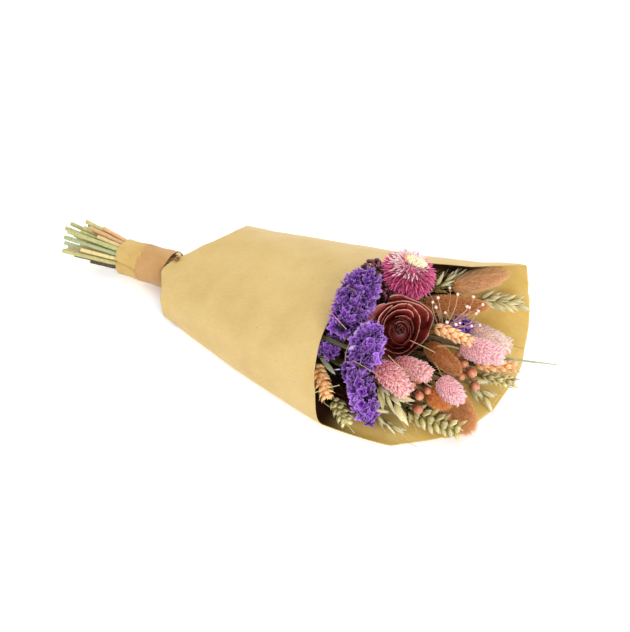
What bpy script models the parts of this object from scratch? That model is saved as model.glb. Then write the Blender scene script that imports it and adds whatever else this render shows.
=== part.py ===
# Mixed bouquet of dried and dyed flowers, lying in a cone of kraft paper.
#
# Frame: +X runs from the cut stems to the flower heads, +Z is up, and the origin is on the
# flat underside of the paper at the middle of the wrapper. Lengths are in millimetres here
# and are turned to metres where the meshes are made.

import math

import bmesh
import bpy
import numpy as np
from mathutils import Matrix, Vector

MM = 0.001
TAU = math.tau
GOLDEN = math.radians(137.5)

# Kraft wrapper: half-flattened cone, open at both ends.
PAPER_THICK = 0.8
SECTION_X = (-140, -120, 34, 100, 130, 150)     # stations along the cone
SECTION_FAR = (52, 57, 60, 81, 84, 85)          # +Y edge at each station
SECTION_NEAR = (-56, -60, -95, -91, -87, -84)   # -Y edge at each station
SECTION_HIGH = (37, 42, 85, 84.5, 83, 82)       # height at each station
SEAM_FROM, SEAM_TO = 255, 285               # degrees of the lapped seam, underneath
SEAM_LIFT = 1.6

# Edge of the paper as (angle, x). Angle 0 is the far side, 90 the top, 180 the near side.
NARROW_EDGE = ((0, -119), (14, -119), (37, -113), (48, -111), (62, -117), (79, -122),
               (89, -129), (99, -137), (106, -142), (120, -144), (138, -138), (173, -132),
               (182, -127), (190, -120), (210, -120), (218, -122), (232, -118), (360, -119))
FLOWER_EDGE = ((0, 124), (20, 122), (34, 122), (44, 119), (50, 98), (54, 78), (59, 58),
               (64, 47), (68, 40), (74, 34), (84, 30), (90, 26), (97, 23), (110, 20),
               (125, 20), (137, 23), (151, 25), (169, 27), (180, 29), (200, 31), (207, 33),
               (211, 44), (215, 57), (221, 73), (228, 89), (237, 104), (248, 117),
               (259, 127), (267, 134), (272, 139), (285, 138), (299, 135), (331, 130),
               (354, 128), (360, 124))

# Bundle of stems where they are tied.
STEM_PITCH = 4.2
NECK_X = -150.0
NECK_Y, NECK_Z = -16.0, 20.0
NECK_SLOPE_Y, NECK_SLOPE_Z = 0.06, 0.04
COLLAR_INNER, COLLAR_WALL = 14.9, 1.1
COLLAR_FROM, COLLAR_TO, TAPE_TO = -192.0, -172.0, -150.5
STEM_TIP_GAP = 0.45

# Flower heads: base, tip, widest radius. The head stands on its stem at the base.
HEADS = {
    "statice_1": ((37, -72, 89), (36, -22, 97), 12.0),
    "statice_2": ((25, -74, 58), (26, -57, 66), 7.5),
    "statice_3": ((65, -91, 83), (63, -66, 97), 12.5),
    "statice_4": ((41, -70, 49), (77, -106, 46), 9.5),
    "statice_5": ((87, 14, 44), (102, 12, 46), 7.0),
    "strawflower": ((51, 3, 80), (58, 7, 102), 21.5),
    "rose": ((65, -26, 61), (75, -45, 87), 24.0),
    "burgundy_buds": ((27, 2, 72), (45, -21, 77), 8.0),
    "bunny_tail_1": ((78, 39, 56), (107, 66, 59), 7.0),
    "bunny_tail_2": ((70, 11, 59), (109, 26, 61), 7.5),
    "bunny_tail_3": ((87, -25, 51), (119, -41, 58), 7.5),
    "bunny_tail_4": ((106, -37, 20.5), (136, -42, 13.5), 9.0),
    "bunny_tail_5": ((99, -52, 38), (115, -56, 33), 6.0),
    "phalaris_1": ((67, -72, 68), (91, -79, 61), 8.5),
    "phalaris_2": ((76, -58, 61), (101, -60, 66), 7.0),
    "phalaris_3": ((105, -49, 50), (123, -55, 45), 8.0),
    "phalaris_4": ((105, -10, 50), (134, -6, 48), 9.0),
    "phalaris_5": ((96, 24, 33), (134, 22, 32), 8.5),
    "orange_wheat_1": ((84, -17, 66), (117, -18, 65), 6.0),
    "orange_wheat_2": ((114, -3, 27), (145, 10, 27), 5.5),
    "orange_wheat_3": ((13, -63, 31), (43, -87, 29), 6.0),
    "green_wheat_1": ((33, -70, 19), (56, -84, 19), 6.0),
    "green_wheat_2": ((87, -61, 16), (139, -61, 16), 7.5),
    "green_wheat_3": ((119, 1, 13), (148, 7, 13), 6.5),
    "oat_1": ((64, 39, 46), (74, 63, 50), 6.0),
    "oat_2": ((94, 52, 38), (132, 65, 40), 8.0),
    "oat_3": ((61, -67, 45), (95, -80, 42), 7.0),
    "oat_4": ((112, -13, 17), (144, -15, 13), 7.0),
    "oat_5": ((64, -74, 20), (90, -80, 13), 5.0),
    "flax_1": ((84, -58, 48), (101, -62, 47), 6.5),
    "flax_2": ((98, -11, 38), (122, -25, 35), 7.0),
    "flax_3": ((91, -68, 35), (97, -67, 32), 4.0),
    "baby_breath": ((86, -3, 58), (92, -3, 74), 2.0),
    "grass_awn": ((126, 18, 20), (167, 32, 20), 0.9),
    "filler_stem_1": ((24, 22, 4.3), (34, 28, 5), 1.8),
    "filler_stem_2": ((46, 8, 16), (60, 10, 18), 1.8),
    "filler_stem_3": ((28, -38, 4.3), (42, -44, 5), 1.8),
}

# Heads whose stem comes up into their side: where it enters.
STEM_ENDS = {
    "statice_1": (40, -47, 82),
    "statice_3": (59, -79, 81),
    "burgundy_buds": (33, -8, 70),
}

COLOURS = {
    "statice": (0.16, 0.05, 0.46), "strawflower": (0.52, 0.05, 0.19), "rose": (0.22, 0.03, 0.03),
    "burgundy_buds": (0.09, 0.01, 0.02), "bunny_tail": (0.48, 0.20, 0.07),
    "phalaris": (0.80, 0.35, 0.42), "orange_wheat": (0.85, 0.38, 0.12),
    "green_wheat": (0.45, 0.46, 0.18), "oat": (0.50, 0.52, 0.24), "flax": (0.50, 0.20, 0.12),
    "baby_breath": (0.88, 0.55, 0.42), "grass_awn": (0.35, 0.38, 0.20),
    "filler_stem": (0.42, 0.44, 0.20), "stem": (0.42, 0.44, 0.20),
}


# ---------------------------------------------------------------- wrapper surface

def paper_station(x):
    """Far edge, near edge and height of the cone at x."""
    return (float(np.interp(x, SECTION_X, SECTION_FAR)),
            float(np.interp(x, SECTION_X, SECTION_NEAR)),
            float(np.interp(x, SECTION_X, SECTION_HIGH)))


def paper_point(x, angle, lift=0.0):
    """Point on the outer face of the paper, lifted inwards from the flat underside."""
    far, near, high = paper_station(x)
    c, s = math.cos(math.radians(angle)), math.sin(math.radians(angle))
    power = 6.0 if s <= 0 else 2.5 - (0.6 if c > 0 else 0.25) * c
    if s > 0 and c > 0:   # the far wall opens out towards its free corner
        power += 1.1 * smooth((x - 85) / 45) * smooth(c / 0.5)
    middle, half = (far + near) / 2, (far - near) / 2
    y = middle + half * math.copysign(abs(c) ** (2 / power), c)
    z = high / 2 * (1 + math.copysign(abs(s) ** (2 / power), s))
    z = max(0.0, z - 1.5) * high / (high - 1.5)
    return Vector((x, y, z + lift))


def edge_x(table, angle):
    angles, values = zip(*table)
    return float(np.interp(angle % 360, angles, values))


def smooth(t):
    t = min(max(t, 0.0), 1.0)
    return t * t * (3 - 2 * t)


# ---------------------------------------------------------------- scene helpers

def clear_scene():
    for obj in list(bpy.data.objects):
        bpy.data.objects.remove(obj, do_unlink=True)


def new_collection(name):
    collection = bpy.data.collections.new(name)
    bpy.context.scene.collection.children.link(collection)
    return collection


def make_material(name, colour, roughness=0.8):
    material = bpy.data.materials.new(name)
    material.use_nodes = True
    bsdf = material.node_tree.nodes["Principled BSDF"]
    bsdf.inputs["Base Color"].default_value = (*colour, 1.0)
    bsdf.inputs["Roughness"].default_value = roughness
    bsdf.inputs["Metallic"].default_value = 0.0
    return material


def add_object(name, data, collection, material=None):
    obj = bpy.data.objects.new(name, data)
    collection.objects.link(obj)
    if material is not None:
        data.materials.append(material)
    return obj


def mesh_from(bm, name):
    mesh = bpy.data.meshes.new(name)
    bmesh.ops.recalc_face_normals(bm, faces=bm.faces)
    bm.to_mesh(mesh)
    bm.free()
    return mesh


def evaluated_mesh(obj):
    """The object's mesh with its modifiers, and with a curve's caps welded on."""
    depsgraph = bpy.context.evaluated_depsgraph_get()
    mesh = bpy.data.meshes.new_from_object(obj.evaluated_get(depsgraph), depsgraph=depsgraph)
    bm = bmesh.new()
    bm.from_mesh(mesh)
    bmesh.ops.remove_doubles(bm, verts=bm.verts, dist=1e-6)
    bmesh.ops.recalc_face_normals(bm, faces=bm.faces)
    bm.to_mesh(mesh)
    bm.free()
    return mesh


def frame_along(axis, roll=0.0):
    """Rotation that turns +Z onto the axis, rolled about it."""
    turn = Vector(axis).normalized().to_track_quat("Z", "Y").to_matrix()
    return turn @ Matrix.Rotation(roll, 3, "Z")


# ---------------------------------------------------------------- small solids

def spindle(length, radius, sides=4, rings=3, belly=0.45, flat=1.0):
    """Pointed grain along +Z from the origin, widest at the belly."""
    bm = bmesh.new()
    bmesh.ops.create_uvsphere(bm, u_segments=sides, v_segments=rings, radius=1.0)
    for v in bm.verts:
        t = (v.co.z + 1) / 2
        t = t ** (math.log(belly) / math.log(0.5))
        v.co = Vector((v.co.x * radius, v.co.y * radius * flat, t * length))
    return bm


def bead(radius):
    bm = bmesh.new()
    bmesh.ops.create_icosphere(bm, subdivisions=1, radius=radius)
    return bm


def calyx(length, mouth):
    """Flared five-sided paper cup along +Z, hollowed a little at its mouth."""
    bm = bmesh.new()
    bmesh.ops.create_cone(bm, cap_ends=True, segments=5, radius1=mouth * 0.3, radius2=mouth,
                          depth=length)
    top = max(bm.faces, key=lambda f: f.calc_center_median().z)
    hub = bmesh.ops.poke(bm, faces=[top])["verts"][0]
    hub.co.z -= length * 0.35
    bmesh.ops.translate(bm, verts=bm.verts, vec=(0, 0, length / 2))
    return bm


def twig(points, radii, sides=1):
    """Rod through the points as a bevelled poly curve turned to a mesh (millimetres)."""
    curve = bpy.data.curves.new("twig", "CURVE")
    curve.dimensions = "3D"
    curve.bevel_depth = 1.0 * MM
    curve.bevel_resolution = sides
    curve.use_fill_caps = True
    spline = curve.splines.new("POLY")
    spline.points.add(len(points) - 1)
    for point, co, radius in zip(spline.points, points, radii):
        point.co = (*(Vector(co) * MM), 1.0)
        point.radius = radius
    obj = bpy.data.objects.new("twig", curve)
    bpy.context.scene.collection.objects.link(obj)
    mesh = evaluated_mesh(obj)
    bpy.data.objects.remove(obj, do_unlink=True)
    return mesh


def placed(bm, origin, axis, roll=0.0):
    """Mesh of a small solid stood on the origin along the axis, scaled to metres."""
    turn = frame_along(axis, roll).to_4x4()
    bmesh.ops.transform(bm, matrix=Matrix.Scale(MM, 4) @ Matrix.Translation(origin) @ turn,
                        verts=bm.verts)
    return mesh_from(bm, "piece")


def fuse(name, meshes, collection, material):
    """One closed body from overlapping closed meshes."""
    group = new_collection(name + " pieces")
    base = add_object(name, meshes[0], collection)
    for index, mesh in enumerate(meshes[1:]):
        add_object("%s_piece_%d" % (name, index), mesh, group)
    union = base.modifiers.new("union", "BOOLEAN")
    union.operation = "UNION"
    union.operand_type = "COLLECTION"
    union.collection = group
    union.solver = "EXACT"
    mesh = evaluated_mesh(base)
    for obj in list(group.objects):
        bpy.data.objects.remove(obj, do_unlink=True)
    bpy.data.collections.remove(group)
    base.modifiers.clear()
    base.data = mesh
    mesh.materials.clear()
    mesh.materials.append(material)
    mesh.shade_smooth()
    mesh.set_sharp_from_angle(angle=math.radians(40))
    return base


# ---------------------------------------------------------------- paper and ties

def build_wrapper(collection, material):
    """Paper cone: one lapped sheet, its two edges cut to the wrapper's outline."""
    angles = [SEAM_FROM + step for step in
              (0, 8, 16, 24, 31, 38, 46, 54, 62, 70, 78, 86, 94, 102, 110, 118, 125, 131,
               136, 140, 144, 149, 155, 162, 170, 180, 190, 200, 210, 220, 232, 244, 256,
               266, 276, 286, 294, 301, 307, 312, 317, 323, 330, 338, 346, 353, 360,
               368, 379, 390)]
    rows = 5
    bm = bmesh.new()
    grid = []
    for angle in angles:
        over = smooth((angle - 595) / 18)
        start, end = edge_x(NARROW_EDGE, angle), edge_x(FLOWER_EDGE, angle)
        column = []
        for row in range(rows):
            x = start + (end - start) * row / (rows - 1)
            column.append(bm.verts.new(paper_point(x, angle, SEAM_LIFT * over) * MM))
        grid.append(column)
    for left, right in zip(grid, grid[1:]):
        for row in range(rows - 1):
            bm.faces.new((left[row], left[row + 1], right[row + 1], right[row]))
    mesh = bpy.data.meshes.new("wrapper_sheet")
    bm.to_mesh(mesh)
    bm.free()
    obj = add_object("wrapper_sheet", mesh, collection, material)
    solid = obj.modifiers.new("paper thickness", "SOLIDIFY")
    solid.thickness = PAPER_THICK * MM
    solid.offset = PAPER_SIDE
    solid.use_even_offset = False
    mesh.shade_smooth()
    return obj


PAPER_SIDE = 1.0


def neck_centre(x):
    run = x - NECK_X
    return Vector((x, NECK_Y + NECK_SLOPE_Y * run, NECK_Z + NECK_SLOPE_Z * run))


def build_band(name, start, end, radius, creases, collection, material):
    """Paper band round the stems: an open sleeve with a few soft creases, then thickened."""
    bm = bmesh.new()
    sides, rows = 20, 3
    grid = []
    for row in range(rows):
        x = start + (end - start) * row / (rows - 1)
        flare = 0.9 * abs(row / (rows - 1) - 0.5)
        ring = []
        for side in range(sides):
            a = TAU * side / sides
            r = radius + flare + creases * (0.5 + 0.5 * math.cos(6 * a + 0.5 * row))
            centre = neck_centre(x)
            ring.append(bm.verts.new((centre + Vector((0, r * math.cos(a), r * math.sin(a)))) * MM))
        grid.append(ring)
    for low, high in zip(grid, grid[1:]):
        for side in range(sides):
            nxt = (side + 1) % sides
            bm.faces.new((low[side], low[nxt], high[nxt], high[side]))
    mesh = mesh_from(bm, name)
    obj = add_object(name, mesh, collection, material)
    solid = obj.modifiers.new("band thickness", "SOLIDIFY")
    solid.thickness = COLLAR_WALL * MM
    solid.offset = 1.0
    mesh.shade_smooth()
    return obj


# ---------------------------------------------------------------- stems

def neck_slots():
    """Hexagonal pack of 37 stems, as rows from the top down."""
    rows = []
    for row in range(3, -4, -1):
        count = 7 - abs(row)
        rows.append([((i - (count - 1) / 2) * STEM_PITCH, row * STEM_PITCH * math.sqrt(3) / 2)
                     for i in range(count)])
    return rows


def deal_slots():
    """Give each head a slot, so that high heads use high slots and far heads far slots."""
    names = sorted(HEADS, key=lambda n: -(HEADS[n][0][2] + 0.2 * HEADS[n][0][1]))
    slots = {}
    for row in neck_slots():
        batch, names = names[:len(row)], names[len(row):]
        batch.sort(key=lambda n: HEADS[n][0][1])
        for name, slot in zip(batch, row):
            slots[name] = slot
    return slots


def stem_radius(name):
    thick = sum(ord(c) for c in name) % 5
    return 1.1 if name == "baby_breath" else 1.6 + 0.04 * thick


def cut_end(name, slot):
    """Where the stem was cut, beyond the collar; the bundle opens a little there."""
    spread = 1.12 + 0.06 * ((sum(ord(c) for c in name) * 7) % 10) / 10
    length = 22 + (sum(ord(c) * (i + 1) for i, c in enumerate(name)) * 13) % 42
    centre = neck_centre(COLLAR_FROM - length)
    return Vector((centre.x, centre.y + slot[0] * (spread + 0.1), centre.z + slot[1] * spread))


def first_route(name, slot):
    """Stem from the neck to its head: straight out of the collar, then along the head."""
    base, tip = Vector(HEADS[name][0]), Vector(HEADS[name][1])
    base = Vector(STEM_ENDS.get(name, base))
    start = neck_centre(NECK_X) + Vector((0, slot[0], slot[1]))
    reach = (base - start).length
    away = Vector((1, NECK_SLOPE_Y, NECK_SLOPE_Z)) * reach * 0.35
    axis = (tip - base).normalized()
    if name in SIDE_STANDING:
        axis = Vector((0.8, 0, 0.6))
    back = (axis + Vector((1.2, 0, 0.2))).normalized() * reach * 0.35
    route = []
    for step in range(ROUTE_STEPS + 1):
        t = step / ROUTE_STEPS
        a, b, c, d = (1 - t) ** 3, 3 * t * (1 - t) ** 2, 3 * t * t * (1 - t), t ** 3
        route.append(a * start + b * (start + away) + c * (base - back) + d * base)
    return route


ROUTE_STEPS = 5
SIDE_STANDING = ("statice_1", "burgundy_buds", "rose", "strawflower")
SAMPLES = 7


def settle_stems(slots):
    """Bend the stems apart, clear of the heads and of the paper, in small fixed steps."""
    names = sorted(slots)
    routes = np.array([[tuple(p) for p in first_route(n, slots[n])] for n in names])
    radii = np.array([stem_radius(n) for n in names])
    count = len(names)
    sway = np.arange(count)
    routes[:, 1:-1, 1] += 0.5 * np.cos(2.3 * sway)[:, None]
    routes[:, 1:-1, 2] += 0.5 * np.sin(1.7 * sway)[:, None]
    weights = np.array([(s, k / SAMPLES) for s in range(ROUTE_STEPS) for k in range(SAMPLES)])
    seg, frac = weights[:, 0].astype(int), weights[:, 1][None, :, None]
    owner = np.repeat(np.arange(count), len(seg))
    head_a = np.array([HEADS[n][0] for n in names], float)
    head_b = np.array([HEADS[n][1] for n in names], float)
    head_r = np.array([head_reach(n) for n in names])
    for round_ in range(SETTLE_ROUNDS):
        points = (routes[:, seg] * (1 - frac) + routes[:, seg + 1] * frac).reshape(-1, 3)
        push = np.zeros_like(points)
        for i in range(count):
            mine = owner == i
            own = points[mine]
            gap = own[:, None, :] - points[None, ~mine, :]
            dist = np.linalg.norm(gap, axis=2)
            need = radii[i] + radii[owner[~mine]][None, :] + STEM_CLEAR
            over = np.clip(need - dist, 0, None) * (own[:, 0] > NECK_X + 6)[:, None]
            gap[:, :, 0] = 0.0
            aside = np.maximum(np.linalg.norm(gap, axis=2), 0.02)
            push[mine] += (gap / aside[:, :, None] * over[:, :, None]).sum(1) * 0.3
            for j in range(count):
                if j != i and head_r[j] > 0:
                    push[mine] += clear_of_head(own, head_a[j], head_b[j], head_r[j] + radii[i])
            push[mine] += inside_paper(own, radii[i])
        push = push.reshape(count, len(seg), 3)
        for s in range(1, ROUTE_STEPS):
            here = (seg == s)[None, :, None] * (1 - frac) + (seg == s - 1)[None, :, None] * frac
            routes[:, s] += np.clip((push * here).sum(1) * 0.35, -1.2, 1.2)
        middle = (routes[:, :-2] + routes[:, 2:]) / 2
        routes[:, 1:-1] += (middle - routes[:, 1:-1]) * 0.02
    return {n: [Vector(p) for p in routes[i]] for i, n in enumerate(names)}, radii_of(names)


SETTLE_ROUNDS = 120
STEM_CLEAR = 0.8


def radii_of(names):
    return {n: stem_radius(n) for n in names}


def head_reach(name):
    if name.startswith("filler") or name in ("grass_awn",):
        return 1.8
    if name == "rose":
        return 19.0
    if name == "strawflower":
        return 17.0
    return HEADS[name][2] + 0.6


def clear_of_head(points, base, tip, reach):
    along = tip - base
    t = np.clip((points - base) @ along / (along @ along), 0, 1)
    away = points - (base + t[:, None] * along)
    dist = np.linalg.norm(away, axis=1)
    return away / np.maximum(dist, 1e-6)[:, None] * np.clip(reach + 0.8 - dist, 0, None)[:, None]


def inside_paper(points, radius):
    """Push towards the cone's axis for points nearer the paper than the stem's radius."""
    far = np.interp(points[:, 0], SECTION_X, SECTION_FAR)
    near = np.interp(points[:, 0], SECTION_X, SECTION_NEAR)
    high = np.interp(points[:, 0], SECTION_X, SECTION_HIGH)
    margin = radius + 3.0
    y = (points[:, 1] - (far + near) / 2) / ((far - near) / 2 - margin)
    z = (points[:, 2] - high / 2) / (high / 2 - margin)
    power = np.where(z > 0, 2.2, 5.0)
    size = (np.abs(y) ** power + np.abs(z) ** power) ** (1 / power)
    over = np.where((points[:, 0] > -144) & ((points[:, 0] < 22) | (z < 0)),
                    np.clip(size - 1, 0, None), 0)
    pull = np.zeros_like(points)
    pull[:, 1] = -over * y * 30
    pull[:, 2] = -over * z * 30
    pull[:, 2] += np.clip(radius + 3.2 - points[:, 2], 0, None) * (points[:, 0] > -144)
    return pull


def stem_mesh(name, slot, route, radius, stop=0.0):
    """Round stem from its cut end through the neck to its head, and some way into it."""
    neck = neck_centre(COLLAR_FROM - 2) + Vector((0, slot[0], slot[1]))
    points = [cut_end(name, slot), neck] + [p.copy() for p in route]
    radii = [radius] * (len(points) - 1) + [radius * 0.8]
    if stop:
        last = (points[-1] - points[-2]).normalized()
        points[-1] -= last * stop
    elif not name.startswith("filler"):
        run = Vector(HEADS[name][1]) - Vector(HEADS[name][0])
        if name in STEM_ENDS:
            run = (Vector(HEADS[name][1]) + Vector(HEADS[name][0])) / 2 - points[-1]
        points.append(points[-1] + run.normalized() * min(7.0, run.length * 0.8))
        radii.append(radius * 0.5)
    return twig(points, radii)


# ---------------------------------------------------------------- heads

def head_frame(name):
    base, tip, radius = HEADS[name]
    base, tip = Vector(base), Vector(tip)
    length = (tip - base).length
    axis = (tip - base) / length
    return base, axis, length, radius, frame_along(axis)


def around(turn, angle):
    return turn @ Vector((math.cos(angle), math.sin(angle), 0))


def statice_head(name, count):
    """Dense spike of flared papery cups on a rounded core."""
    base, axis, length, radius, turn = head_frame(name)
    meshes = [placed(spindle(length * 0.96, radius * 0.5, 7, 5, 0.5), base, axis)]
    for i in range(count):
        t = (i + 0.5) / count
        girth = math.sin(math.pi * (0.10 + 0.84 * t)) ** 0.55
        side = around(turn, i * GOLDEN)
        lean = (side + axis * (0.2 + 0.55 * t)).normalized()
        root = base + axis * length * (0.06 + 0.84 * t) + side * radius * 0.18
        reach = (radius * (0.55 + 0.45 * girth) - radius * 0.18) * 0.93
        mouth = 4.6 - 0.6 * ((i * 5) % 4) / 3
        meshes.append(placed(calyx(reach, mouth), root, lean, i * 1.3))
    return meshes


def grass_head(name, sides, rings, relief, blunt):
    """Soft ovoid spike whose skin stands up in staggered scales."""
    base, axis, length, radius, turn = head_frame(name)
    bm = bmesh.new()
    bmesh.ops.create_uvsphere(bm, u_segments=sides, v_segments=rings, radius=1.0)
    for v in bm.verts:
        t = (1 + v.co.z) / 2
        a = math.atan2(v.co.y, v.co.x)
        ring = round(math.acos(max(-1, min(1, v.co.z))) / math.pi * rings)
        stagger = 1 if (round(a / TAU * sides) + ring) % 2 else -1
        girth = (math.sqrt(max(0.0, 1 - v.co.z ** 2)) ** blunt) * (1.08 - 0.22 * t)
        r = girth * (radius - relief) * (1.0 if girth > 0 else 0.0)
        r += relief * stagger * (1 if girth > 0.05 else 0)
        v.co = Vector((r * math.cos(a), r * math.sin(a), length * t + relief * 0.4 * stagger))
    return [placed(bm, base, axis)]


def wheat_head(name, pairs):
    """Ear of wheat: plump grains in opposite rows, each standing off the core."""
    base, axis, length, radius, turn = head_frame(name)
    meshes = [placed(spindle(length * 0.94, radius * 0.3, 4, 3, 0.5), base, axis)]
    grain = min(13.0, length / pairs * 1.2)
    for i in range(pairs):
        t = (i + 0.3) / pairs
        for k in range(3):
            a = k * TAU / 3 + (1.05 if i % 2 else 0.0)
            side = around(turn, a)
            slim = 1.0 - 0.35 * t
            lean = (axis * 1.35 + side).normalized()
            root = base + axis * length * t * 0.86 + side * radius * 0.12
            meshes.append(placed(spindle(grain, radius * 0.4 * slim, 4, 3, 0.42), root, lean, a))
    meshes.append(placed(spindle(length * 0.22, radius * 0.3, 4, 4, 0.4),
                         base + axis * length * 0.82, axis))
    return meshes


def oat_head(name, count):
    """Loose oat panicle: long two-bladed spikelets leaning off a thin core."""
    base, axis, length, radius, turn = head_frame(name)
    tip = base + axis * length * 0.8
    meshes = [twig([base - axis * 1.0, base + axis * length * 0.4, tip], [1.0, 0.8, 0.5], 0)]
    for i in range(count):
        t = i / (count - 1)
        side = around(turn, i * GOLDEN + 0.4)
        lean = (axis * (1.5 + 0.9 * t) + side).normalized()
        root = base + axis * length * 0.66 * t + side * 0.2
        size = min(length * 0.5, 17.0)
        for fork in (-1, 1):
            across = lean.cross(side).normalized()
            blade = (lean + across * 0.13 * fork).normalized()
            meshes.append(placed(spindle(size, 1.6, 4, 3, 0.4, 0.65), root, blade, i))
    return meshes


def flax_head(name, count):
    """Round seed bolls on short stalks."""
    base, axis, length, radius, turn = head_frame(name)
    tip = base + axis * length
    meshes = [twig([base - axis * 1.0, base + axis * length * 0.5, tip], [0.9, 0.8, 0.6], 0)]
    for i in range(count):
        t = (i + 0.6) / count
        side = around(turn, i * GOLDEN * 1.05 + 0.8)
        centre = base + axis * length * t + side * max(0.0, radius - 3.6)
        foot = base + axis * length * max(0.05, t - 0.22)
        bm = bmesh.new()
        bmesh.ops.create_uvsphere(bm, u_segments=6, v_segments=4, radius=3.6)
        meshes.append(placed(bm, centre, (side + axis)))
        meshes.append(twig([foot, centre], [0.55, 0.55], 0))
    return meshes


def bud_cluster(name, count):
    """Tight cluster of small round buds over a rounded core."""
    base, axis, length, radius, turn = head_frame(name)
    meshes = [placed(spindle(length, radius * 0.62, 7, 5, 0.5), base, axis)]
    for i in range(count):
        t = (i + 0.5) / count
        side = around(turn, i * GOLDEN)
        girth = math.sin(math.pi * (0.1 + 0.8 * t)) ** 0.6
        centre = base + axis * length * (0.04 + 0.92 * t) + side * (radius - 2.4) * girth
        meshes.append(placed(bead(2.6), centre, side, i))
    return meshes


def spray_head(name, count):
    """Airy spray: thin arching branches, each ending in one tiny bud."""
    base, axis, length, radius, turn = head_frame(name)
    crown = base + axis * length
    meshes = [twig([base - axis * 0.8, base + axis * length * 0.5, crown], [0.9, 0.8, 0.7], 0)]
    meshes.append(placed(bead(2.3), crown, axis))
    for i in range(count):
        a = i * GOLDEN
        reach = math.sqrt((i + 0.7) / count)
        end = Vector((97 + 17 * reach * math.cos(a), -4 + 17 * reach * math.sin(a),
                      79.5 + 2.6 * math.cos(2.3 * i)))
        bend = crown.lerp(end, 0.5) + Vector((0, 0, 1.5 + 1.6 * math.sin(1.7 * i)))
        root = crown + Vector((math.cos(a), math.sin(a), 0.3)) * 0.5
        meshes.append(twig([root, bend, end], [0.42, 0.36, 0.36], 0))
        meshes.append(placed(bead(1.45), end, axis, i))
    return meshes


def strawflower_head(name):
    """Domed everlasting: rows of stiff pointed bracts round a pale boss."""
    base, axis, length, radius, turn = head_frame(name)
    meshes = [placed(spindle(length * 0.9, radius * 0.56, 10, 6, 0.55), base, axis)]
    rows = ((0.18, 13, 0.98, 0.05), (0.32, 13, 1.0, 0.35), (0.46, 12, 0.92, 0.85),
            (0.60, 7, 0.70, 1.7))
    for row, (height, count, reach, rise) in enumerate(rows):
        for i in range(count):
            side = around(turn, TAU * (i + 0.5 * (row % 2)) / count)
            lean = (side + axis * rise).normalized()
            root = base + axis * length * height + side * radius * 0.26
            size = radius * reach - radius * 0.26 if rise < 1 else radius * 0.62
            meshes.append(placed(spindle(size, 2.2, 4, 3, 0.55, 0.45), root, lean, 0))
    return meshes


def rose_petal(foot, reach, rim, span, turn_at, sag):
    """One curled petal: part of a bowl, its two edges at unlike radii so petals lap."""
    cols, rows = 4, 3
    bm = bmesh.new()
    grid = []
    for c in range(cols):
        u = c / (cols - 1)
        a = turn_at + span * (u - 0.5)
        column = []
        for r in range(rows):
            s = r / (rows - 1)
            trim = 1.0 - 0.16 * (2 * u - 1) ** 2 * s
            radial = (foot + (reach - foot) * s ** 0.75) + 1.3 * (u - 0.5) * s
            height = (1.5 + rim * s ** 1.25 - sag * max(0.0, s - 0.6)) * trim
            column.append(bm.verts.new((radial * math.cos(a), radial * math.sin(a), height)))
        grid.append(column)
    for left, right in zip(grid, grid[1:]):
        for r in range(rows - 1):
            bm.faces.new((left[r], right[r], right[r + 1], left[r + 1]))
    mesh = bpy.data.meshes.new("petal")
    bm.to_mesh(mesh)
    bm.free()
    obj = bpy.data.objects.new("petal", mesh)
    bpy.context.scene.collection.objects.link(obj)
    solid = obj.modifiers.new("petal thickness", "SOLIDIFY")
    solid.thickness, solid.offset = 0.75, 0.0
    thick = evaluated_mesh(obj)
    bpy.data.objects.remove(obj, do_unlink=True)
    return thick


def rose_head(name):
    """Open rose: nested rings of lapped petals on a rounded hip."""
    base, axis, length, radius, turn = head_frame(name)
    meshes = [placed(spindle(length * 0.36, 6.6, 9, 5, 0.5), base, axis)]
    bud_base = base + axis * length * 0.06
    meshes.append(placed(spindle(length * 0.58, 3.4, 7, 4, 0.6), bud_base, axis))
    rings = ((3, 6.4, 17.5, 1.85, 0), (3, 10.4, 18.0, 1.9, 0), (4, 15.0, 16.5, 1.48, 1.0),
             (4, 19.6, 14.0, 1.48, 2.5), (5, radius, 10.5, 1.16, 7.0))
    for ring, (count, reach, rim, span, sag) in enumerate(rings):
        for i in range(count):
            at = TAU * i / count + 0.7 * ring
            bm = bmesh.new()
            bm.from_mesh(rose_petal(2.2 + 0.75 * ring, reach, rim, span, at, sag))
            meshes.append(placed(bm, base + axis * (3.0 - 0.3 * ring), axis))
    return meshes


HEAD_BUILDERS = {
    "statice_1": lambda n: statice_head(n, 27), "statice_2": lambda n: statice_head(n, 9),
    "statice_3": lambda n: statice_head(n, 18), "statice_4": lambda n: statice_head(n, 21),
    "statice_5": lambda n: statice_head(n, 7),
    "phalaris": lambda n: grass_head(n, 12, 9, 0.5, 0.75),
    "bunny_tail": lambda n: grass_head(n, 10, 7, 0.2, 0.8),
    "orange_wheat": lambda n: wheat_head(n, 3), "green_wheat": lambda n: wheat_head(n, 3),
    "oat": lambda n: oat_head(n, 3), "flax_3": lambda n: flax_head(n, 1),
    "flax": lambda n: flax_head(n, 4), "burgundy_buds": lambda n: bud_cluster(n, 12),
    "baby_breath": lambda n: spray_head(n, 11),
}


def kind_of(name):
    return name.rsplit("_", 1)[0] if name[-1].isdigit() else name


def awn_mesh(name):
    base, tip, radius = HEADS[name]
    base, tip = Vector(base), Vector(tip)
    return twig([base - (tip - base) * 0.04, base.lerp(tip, 0.5), tip], [1.0, 0.75, 0.5], 0)


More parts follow.
